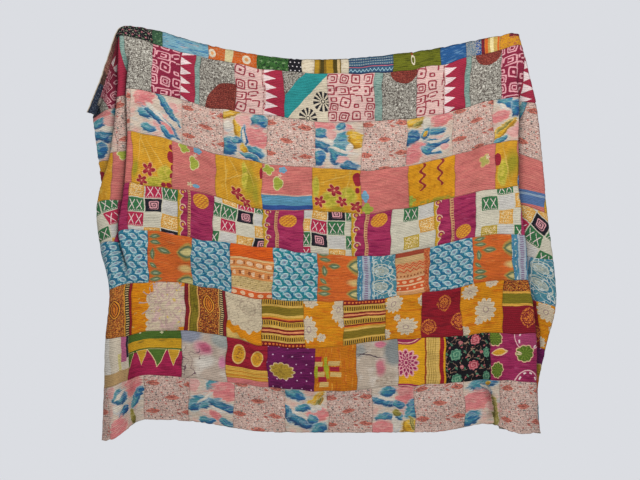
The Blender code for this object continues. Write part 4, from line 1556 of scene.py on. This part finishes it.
@cotton((186, 170, 152), wobble=6)
def tulip_grey(p):
    p.paint((206, 194, 180), p.cloud(46, 0.5, 0.16))
    p.paint((134, 138, 136), p.glow(150, 44, 52, 64, 0.3))
    p.paint((158, 158, 152), p.glow(12, 30, 30, 34, 0.5))
    p.paint((204, 120, 138), p.glow(92, 14, 26, 14, 0.4))
    p.paint((190, 112, 122), p.glow(94, 100, 24, 42, 0.5))
    p.paint((92, 78, 82), p.at(50, 52, 58, 2.6, turn=10).leaf() | p.at(26, 44, 30, 1.6, turn=-24).leaf())
    p.paint((150, 130, 112), p.at(112, 150, 40, 14).disc() & p.cloud(12, 0.5, 0.2))


@cotton((200, 188, 168), wobble=3)
def tube_stripes(p):
    p.paint((170, 160, 118), p.columns(60, 30) & p.cloud(30, 0.45, 0.2))
    p.paint((212, 206, 194), p.columns(110, 14))
    p.paint((176, 92, 128), (p.columns(188, 14)) & (p.cloth.y < 96))
    p.paint((196, 184, 124), p.columns(166, 8) & (p.cloth.y > 60))
    p.paint((34, 34, 46), p.columns(206, 5) & (p.cloth.y < 84))
    p.paint((178, 146, 100), p.cloth.y > 128)


@cotton((152, 26, 44))
def red_ovals(p):
    p.paint((128, 16, 36), p.cloud(24, 0.5, 0.12, (3, 0.5)))
    for x, half_width, half_height in ((50, 27, 39), (122, 24, 35)):
        oval = p.at(x, 58, half_width, half_height, turn=8)
        p.paint((216, 176, 104), oval.disc())
        p.paint((204, 146, 34), oval.at(0, 0, 0.84).disc())
        p.paint((150, 96, 40), oval.at(0, 0, 0.6).disc() & p.scribble(12, 0.035))
    p.paint((206, 160, 66), p.rows(132, 24))
    p.paint((190, 122, 34), p.rows(126, 2, 142, 3, 152, 2))
    p.paint((206, 118, 116), p.rows(170, 16))


@cotton((108, 22, 82))
def purple_dots(p):
    p.paint((86, 12, 66), p.cloud(22, 0.5, 0.12, (3, 0.5)))
    p.paint((214, 170, 200), p.tiled(38, 34, 0.5).at(0, 0, 3, 2.8).disc())
    leaf = p.at(60, 98, 50, 38, turn=4)
    p.paint((206, 178, 130), leaf.petals(11, 0.09))
    p.paint((170, 138, 46), leaf.at(0, 0, 0.88).petals(11, 0.08))
    p.paint((140, 112, 36), leaf.at(0, 0, 0.7).disc() & p.scribble(12, 0.03))


@cotton((192, 112, 12), wobble=2)
def orange_bricks(p):
    p.paint((182, 86, 14), p.cloud(16, 0.52, 0.08, (0.5, 3)))
    p.paint((214, 146, 44), p.cloud(16, 0.6, 0.06, (0.5, 3)))
    for row in range(6):
        shade = (206, 172, 104) if row % 2 else (158, 30, 50)
        p.paint(shade, p.at(12 + row * 5, 43 + (row - 1) * 21 + 22, 17, 10, turn=4).box())
    p.paint((206, 172, 104), p.at(78, 65, 20, 9, turn=4).box() | p.at(82, 109, 18, 9, turn=4).box())
    p.paint((158, 30, 50), p.at(80, 87, 16, 9, turn=4).box())
    p.paint((162, 166, 38), p.at(50, 82, 10, 52, turn=-8).petals(6, 0.2) | p.at(8, 96, 7, 26).disc())


@cotton((216, 156, 22), wobble=1.8)
def magenta_flower(p):
    for size, turn in ((1, 0), (0.72, 15), (0.46, 0)):
        ring = p.at(30, 92, 54 * size, 52 * size, turn=turn)
        p.paint((216, 158, 156), ring.petals(12, 0.12))
        p.paint((150, 38, 84), ring.at(0, 0, 0.88).petals(12, 0.3))
    p.paint((216, 158, 156), p.at(30, 92, 10, 10).ring(0.6))
    for y in (-36, 222):
        arc = p.at(26, y, 84, 60)
        p.paint((150, 36, 76), arc.disc())
        p.paint((222, 170, 150), arc.at(0, 0, 0.9).ring(0.93))
    p.paint((206, 170, 92), p.columns(133, 24))
    p.paint((160, 130, 50), p.columns(118, 1.2, 126, 1.2, 134, 1.2, 142, 1.2))
    p.paint((146, 60, 26), p.columns(106, 3))
    p.paint((150, 24, 34), p.columns(167, 8))


# Roses on the black print.
BLACK_ROSES = (
    ("green", 38, 72, 23, 23), ("green", 42, 165, 23, 23), ("pink", 110, 20, 21, 20),
    ("pink", 110, 114, 21, 20), ("green", 156, 70, 14, 20), ("green", 156, 160, 14, 20),
    ("bud", 54, 26, 9, 8), ("bud", 60, 118, 9, 8), ("bud", 136, 66, 7, 7),
)
ROSE_COLOURS = {
    "green": ((60, 116, 92), (116, 160, 128)), "pink": ((168, 66, 80), (206, 124, 128)),
    "bud": ((170, 80, 90), (206, 140, 134)),
}


@cotton((16, 14, 20), wobble=2.4)
def black_roses(p):
    p.paint((166, 128, 108), p.scribble(30, 0.018) & p.cloud(30, 0.48, 0.02))
    p.paint((76, 120, 92), p.tiled(34, 30, 0.5).at(4, 2, 9, 3.6, turn=50).leaf())
    p.paint((176, 92, 96), p.tiled(44, 38, 0.5).at(-8, 6, 5, 3, turn=-30).leaf())
    for rose in records(Area, BLACK_ROSES):
        dark, light = ROSE_COLOURS[rose.kind]
        spot = p.at(*rose[1:5], turn=rose.turn)
        p.paint((16, 16, 26), spot.at(0, 0, 1.25).disc())
        p.paint(dark, spot.petals(8, 0.1))
        p.paint(light, spot.petals(8, 0.1) & ((spot.spiral(2.2, 0.42)) | p.cloud(6, 0.6, 0.04)))


@cotton((152, 38, 84), wobble=2)
def magenta_leaves(p):
    magenta_weave(p)
    arc = p.at(158, 4, 62, 60)
    p.paint((222, 176, 176), arc.ring(0.94) | p.at(158, 190, 58, 56).ring(0.93))
    p.paint((160, 60, 100), arc.at(0, 0, 0.9).disc())
    for x, y in ((156, 20), (158, 182)):
        dots = p.at(x, y, 44, 42)
        p.paint((226, 204, 200), dots.ring(0.86) & ((dots.angle() * 9).sine() > 0.2))
    almond = p.at(36, 70, 32, 14, turn=-6)
    p.paint((222, 186, 140), almond.leaf())
    p.paint((206, 152, 40), almond.at(-0.06, 0, 0.78, 0.72).leaf())
    for turn, place in ((30, (18, 18, 30, 27)), (0, (28, 136, 23, 28)), (14, (142, 74, 38, 30))):
        spot = p.at(*place, turn=turn)
        p.paint((216, 180, 140), spot.at(0, 0, 1.14).petals(9, 0.07))
        p.paint((84, 108, 30), spot.petals(9, 0.06))
        p.paint((120, 138, 50), spot.at(0, 0, 0.8).disc() & ((spot.angle() * 11).sine() > 0.7))
    p.paint((222, 196, 160), p.at(116, 76, 14, 3, turn=8).leaf() | p.at(118, 68, 14, 3, turn=24).leaf())


def even_runs(marks, counts):
    """Places from the first mark to the last, with so many even steps from each mark to the next."""
    parts = [np.linspace(a, b, count + 1)[:-1] for a, b, count in zip(marks, marks[1:], counts)]
    return np.concatenate(parts + [marks[-1:]])


def grid_lines():
    """The cloth's columns and rows, in millimetres on the flat cloth."""
    marks = (CLOTH_LEFT, -SIDE_START, SIDE_START, CLOTH_RIGHT)
    spans = np.diff(SEAMS)
    steps = np.maximum(1, np.round(spans / CLOTH_LENGTH * ROWS).astype(int))
    steps[-1] += ROWS - steps.sum()
    return even_runs(marks, COLUMNS), even_runs(SEAMS, steps)


def patch_table(across, down):
    """Each patch with its first and last column and row, and the number of the patch in every cell."""
    owner = np.zeros((len(down) - 1, len(across) - 1), dtype=int)
    placed = []
    top = 0
    for row in LAYOUT:
        bottom = int(np.argmin(abs(down - row.ends)))
        left = 0
        for patch in records(Patch, row.patches):
            right = int(np.argmin(abs(across - patch.ends)))
            owner[top:bottom, left:right] = len(placed)
            placed.append((patch, left, right, top, bottom))
            left = right
        top = bottom
    return placed, owner


# Seams between rows and between patches: how deep they sink, how high their puckers are and how far those
# reach, in millimetres.
SeamShape = namedtuple("SeamShape", "depth pucker reach")
ROW_SEAM = SeamShape(1.5, 0.8, 20.0)
PATCH_SEAM = SeamShape(1.3, 0.5, 16.0)
SEAM_WIDTH = 6.0
PUCKER_LENGTH = 3.9
SIDE_PUCKER_LENGTH = 4.3
SWAY = 1.7
SWAY_LENGTH = 41.0


def sunk_seam(shape, away, pucker):
    """The relief beside one seam, at these distances from it."""
    sunk = -shape.depth * np.exp(-(away / SEAM_WIDTH) ** 2)
    return sunk + shape.pucker * pucker * np.exp(-(away / shape.reach) ** 2)


def seam_relief(across, down, placed, lines_across, lines_down):
    """The seams sink into the cloth and pucker it on both sides."""
    total = np.zeros_like(across)
    for seam in SEAMS[1:-1]:
        pucker = np.sin(across / PUCKER_LENGTH + SWAY * np.sin(across / SWAY_LENGTH + seam))
        total += sunk_seam(ROW_SEAM, down - seam, pucker)
    for _, left, right, top, bottom in placed:
        inside = (down > lines_down[top]) & (down < lines_down[bottom])
        pucker = np.sin(down / SIDE_PUCKER_LENGTH + left)
        total += np.where(inside, sunk_seam(PATCH_SEAM, across - lines_across[right], pucker), 0.0)
    return total


def surface_normals(points):
    """Unit normals of a grid of points, towards the front of the cloth."""
    down = np.gradient(points, axis=0)
    across = np.gradient(points, axis=1)
    normals = np.cross(down, across)
    return normals / np.linalg.norm(normals, axis=2, keepdims=True)


# Waves over the cloth: how high they are or how far they move it, their lengths across and down, in
# millimetres, the seed of their random draws and how many there are.
Waves = namedtuple("Waves", "size across_wave down_wave seed count", defaults=(18,))
EDGE_WAVES = Waves(EDGE_WANDER, 34.0, 26.0, 9)
SHIFT_ACROSS = Waves(4.0, 300.0, 160.0, 3)
SHIFT_DOWN = Waves(3.0, 200.0, 300.0, 5)
RELIEF_WAVES = (Waves(2.8, 240.0, 200.0, 11), Waves(1.4, 80.0, 34.0, 12), Waves(0.7, 60.0, 12.0, 13, 30))

# The cloth's places shift freely this far in from its edge, and its relief is held down in the side folds.
LOOSE_REACH = 60.0
CALM_START = 700.0
CALM_REACH = 60.0
CALM_SHARE = 0.65


def sheet_points(lines_across, lines_down, placed):
    """The front and the back points of the cloth, in millimetres."""
    across, down = np.meshgrid(lines_across, lines_down)
    edge = np.minimum(
        np.minimum(across - CLOTH_LEFT, CLOTH_RIGHT - across), np.minimum(down, CLOTH_LENGTH - down))
    loose = np.clip(edge / LOOSE_REACH, 0.0, 1.0)
    drawn_in = abs(ripples(across, down, EDGE_WAVES)) * np.exp(-(edge / EDGE_REACH) ** 2)
    below_middle = np.sign(down - 0.5 * CLOTH_LENGTH)
    moved_across = across + loose * ripples(across, down, SHIFT_ACROSS) - np.sign(across) * drawn_in
    moved_down = down + loose * ripples(across, down, SHIFT_DOWN) - below_middle * drawn_in
    middle = HangingCloth().at(moved_across, moved_down)
    normals = surface_normals(middle)
    free = 1.0 - CALM_SHARE * np.clip((abs(across) - CALM_START) / CALM_REACH, 0.0, 1.0)
    relief = CREASE_SCALE * crease_relief(across, down)
    relief += seam_relief(across, down, placed, lines_across, lines_down)
    for waves in RELIEF_WAVES:
        relief += ripples(across, down, waves)
    middle = middle + normals * (relief * free)[..., None]
    normals = surface_normals(middle)
    half = 0.5 * (CLOTH_THICKNESS + HEM_EXTRA * np.exp(-(edge / HEM_REACH) ** 2))[..., None]
    return middle + normals * half, middle - normals * half


def rim_loop(rows, columns):
    """Grid places around the cloth's edge, each as a row and a column, in order."""
    top = [(0, j) for j in range(columns)]
    right = [(i, columns) for i in range(rows)]
    bottom = [(rows, j) for j in range(columns, 0, -1)]
    left = [(i, 0) for i in range(rows, 0, -1)]
    return top + right + bottom + left


TONE_SEED = 21


def corner_maps(lines_across, lines_down, placed, owner):
    """The values of each map at the four corners of every front cell."""
    chance = np.random.default_rng(TONE_SEED)
    i, j = np.meshgrid(np.arange(len(lines_down) - 1), np.arange(len(lines_across) - 1), indexing="ij")
    rows = np.stack([i, i + 1, i + 1, i], axis=-1)
    columns = np.stack([j, j, j + 1, j + 1], axis=-1)
    across = lines_across[columns]
    down = lines_down[rows]
    numbers = owner[..., None]
    left, right, top, bottom = (np.array([patch[k] for patch in placed])[numbers] for k in (1, 2, 3, 4))
    near = np.stack([across - lines_across[left], down - lines_down[top]], axis=-1)
    far = np.stack([lines_across[right] - across, lines_down[bottom] - down], axis=-1)
    slide = np.array([(patch[0].slide_across, patch[0].slide_down) for patch in placed], dtype=float)
    turn = np.radians([patch[0].turn for patch in placed])[numbers]
    middle = 0.5 * (near + far)
    x, y = np.moveaxis(near - middle, -1, 0)
    turned = np.stack([x * np.cos(turn) + y * np.sin(turn), y * np.cos(turn) - x * np.sin(turn)], axis=-1)
    printed = turned + middle + slide[numbers]
    tones = chance.uniform(-1.0, 1.0, (len(placed), 2))
    return {
        "cloth": np.stack([across, down], axis=-1) * MILLIMETRE,
        "near": near * MILLIMETRE,
        "far": far * MILLIMETRE,
        "print": printed * MILLIMETRE,
        "tone": np.broadcast_to(tones[numbers], near.shape),
    }


def build_quilt():
    """One closed sheet with a print on each patch of its front and plain cotton on its back."""
    lines_across, lines_down = grid_lines()
    placed, owner = patch_table(lines_across, lines_down)
    front, back = sheet_points(lines_across, lines_down, placed)
    points = np.concatenate([front.reshape(-1, 3), back.reshape(-1, 3)]) * MILLIMETRE
    columns = len(lines_across) - 1
    wide = columns + 1
    behind = wide * (ROWS + 1)
    i, j = np.meshgrid(np.arange(ROWS), np.arange(columns), indexing="ij")
    corner = (i * wide + j).reshape(-1)
    front_faces = np.stack([corner, corner + wide, corner + wide + 1, corner + 1], axis=1)
    back_faces = front_faces[:, ::-1] + behind
    loop = [row * wide + column for row, column in rim_loop(ROWS, columns)]
    rim_faces = np.array([(a, a + behind, b + behind, b) for a, b in zip(loop, loop[1:] + loop[:1])])
    faces = np.concatenate([front_faces, back_faces, rim_faces])

    mesh = bpy.data.meshes.new("patched_quilt")
    mesh.from_pydata(points.tolist(), [], faces.tolist())
    names = sorted({patch[0].print for patch in placed}) + [BACK_PRINT]
    finish = finish_group()
    for name in names:
        mesh.materials.append(made_print(name, finish))
    slots = np.array([names.index(patch[0].print) for patch in placed])[owner].reshape(-1)
    plain = np.full(len(back_faces) + len(rim_faces), len(names) - 1)
    mesh.polygons.foreach_set("material_index", np.concatenate([slots, plain]))
    for name, values in corner_maps(lines_across, lines_down, placed, owner).items():
        ahead = values.reshape(-1, 4, 2)
        reverse = ahead[:, ::-1]
        rim = np.zeros((len(rim_faces), 4, 2))
        layer = mesh.uv_layers.new(name=name)
        layer.uv.foreach_set("vector", np.concatenate([ahead, reverse, rim]).reshape(-1).astype(np.float32))
    mesh.shade_smooth()
    quilt = bpy.data.objects.new("patched_quilt", mesh)
    bpy.context.scene.collection.objects.link(quilt)
    return quilt


MOTTLE_SCALE = 3.0
MOTTLE_SHADE = 0.97


def plain_material(name, colour, roughness):
    """A matt material with a faint mottle."""
    material = bpy.data.materials.new(name)
    material.use_nodes = True
    make = NodeMaker(material.node_tree)
    shader = material.node_tree.nodes["Principled BSDF"]
    noise = make.node("ShaderNodeTexNoise", None, None, MOTTLE_SCALE)
    darker = tuple(MOTTLE_SHADE * channel for channel in colour)
    shade = make.mix(noise.outputs[0], shader_colour(colour), shader_colour(darker))
    make.feed(shader.inputs["Base Color"], shade)
    shader.inputs["Roughness"].default_value = roughness
    return material


def build_stage():
    """A plain pale floor, below the view."""
    half = FLOOR_HALF
    mesh = bpy.data.meshes.new("studio_floor")
    corners = [(-half, -half), (half, -half), (half, half), (-half, half)]
    mesh.from_pydata([(x, y, FLOOR_HEIGHT) for x, y in corners], [], [(0, 1, 2, 3)])
    mesh.materials.append(plain_material("pale_floor", (214, 214, 212), 0.9))
    floor = bpy.data.objects.new("studio_floor", mesh)
    bpy.context.scene.collection.objects.link(floor)


def area_light(name, place, size, power, colour):
    """A soft light that faces the middle of the quilt."""
    lamp = bpy.data.lights.new(name, "AREA")
    lamp.shape = "RECTANGLE"
    lamp.size, lamp.size_y = size
    lamp.energy = power
    lamp.color = colour
    light = bpy.data.objects.new(name, lamp)
    light.location = place
    aim = Vector((0.0, 0.0, VIEW_MIDDLE[2])) - Vector(place)
    light.rotation_euler = aim.to_track_quat("-Z", "Y").to_euler()
    bpy.context.scene.collection.objects.link(light)


# The surround as the camera sees it, and as it lights the cloth.
SURROUND_SEEN = (219, 221, 226)
SURROUND_LIGHT = (236, 238, 244)
SURROUND_POWER = 0.50


def build_light():
    """A pale surround and soft light from above the viewer."""
    world = bpy.data.worlds.new("pale_surround")
    bpy.context.scene.world = world
    world.use_nodes = True
    make = NodeMaker(world.node_tree)
    world.node_tree.nodes.clear()
    sight = make.node("ShaderNodeLightPath").outputs["Is Camera Ray"]
    seen = make.node("ShaderNodeBackground", shader_colour(SURROUND_SEEN), 1.0)
    lights = make.node("ShaderNodeBackground", shader_colour(SURROUND_LIGHT), SURROUND_POWER)
    choice = make.node("ShaderNodeMixShader", sight, lights.outputs[0], seen.outputs[0])
    make.node("ShaderNodeOutputWorld", choice.outputs[0])
    area_light("high_softbox", (0.0, -2.2, 1.6), (2.0, 1.2), 76.0, (1.0, 0.98, 0.95))
    area_light("side_softbox", (2.2, -2.4, 0.0), (1.2, 1.6), 9.0, (0.95, 0.98, 1.0))


def build_camera():
    """A camera straight in front, with the photograph's frame."""
    lens = bpy.data.cameras.new("viewer")
    lens.sensor_width = SENSOR_WIDTH
    lens.lens = SENSOR_WIDTH * CAMERA_DISTANCE / VIEW_WIDTH
    lens.clip_end = 100.0
    camera = bpy.data.objects.new("viewer", lens)
    x, y, z = VIEW_MIDDLE
    camera.location = (x, y - CAMERA_DISTANCE, z)
    camera.rotation_euler = (math.pi / 2, 0.0, 0.0)
    bpy.context.scene.collection.objects.link(camera)
    bpy.context.scene.camera = camera
    bpy.context.scene.view_settings.view_transform = "Standard"


build_camera()
build_light()
build_stage()
quilt = build_quilt()
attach(quilt, "root")
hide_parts("quilt_cloth")
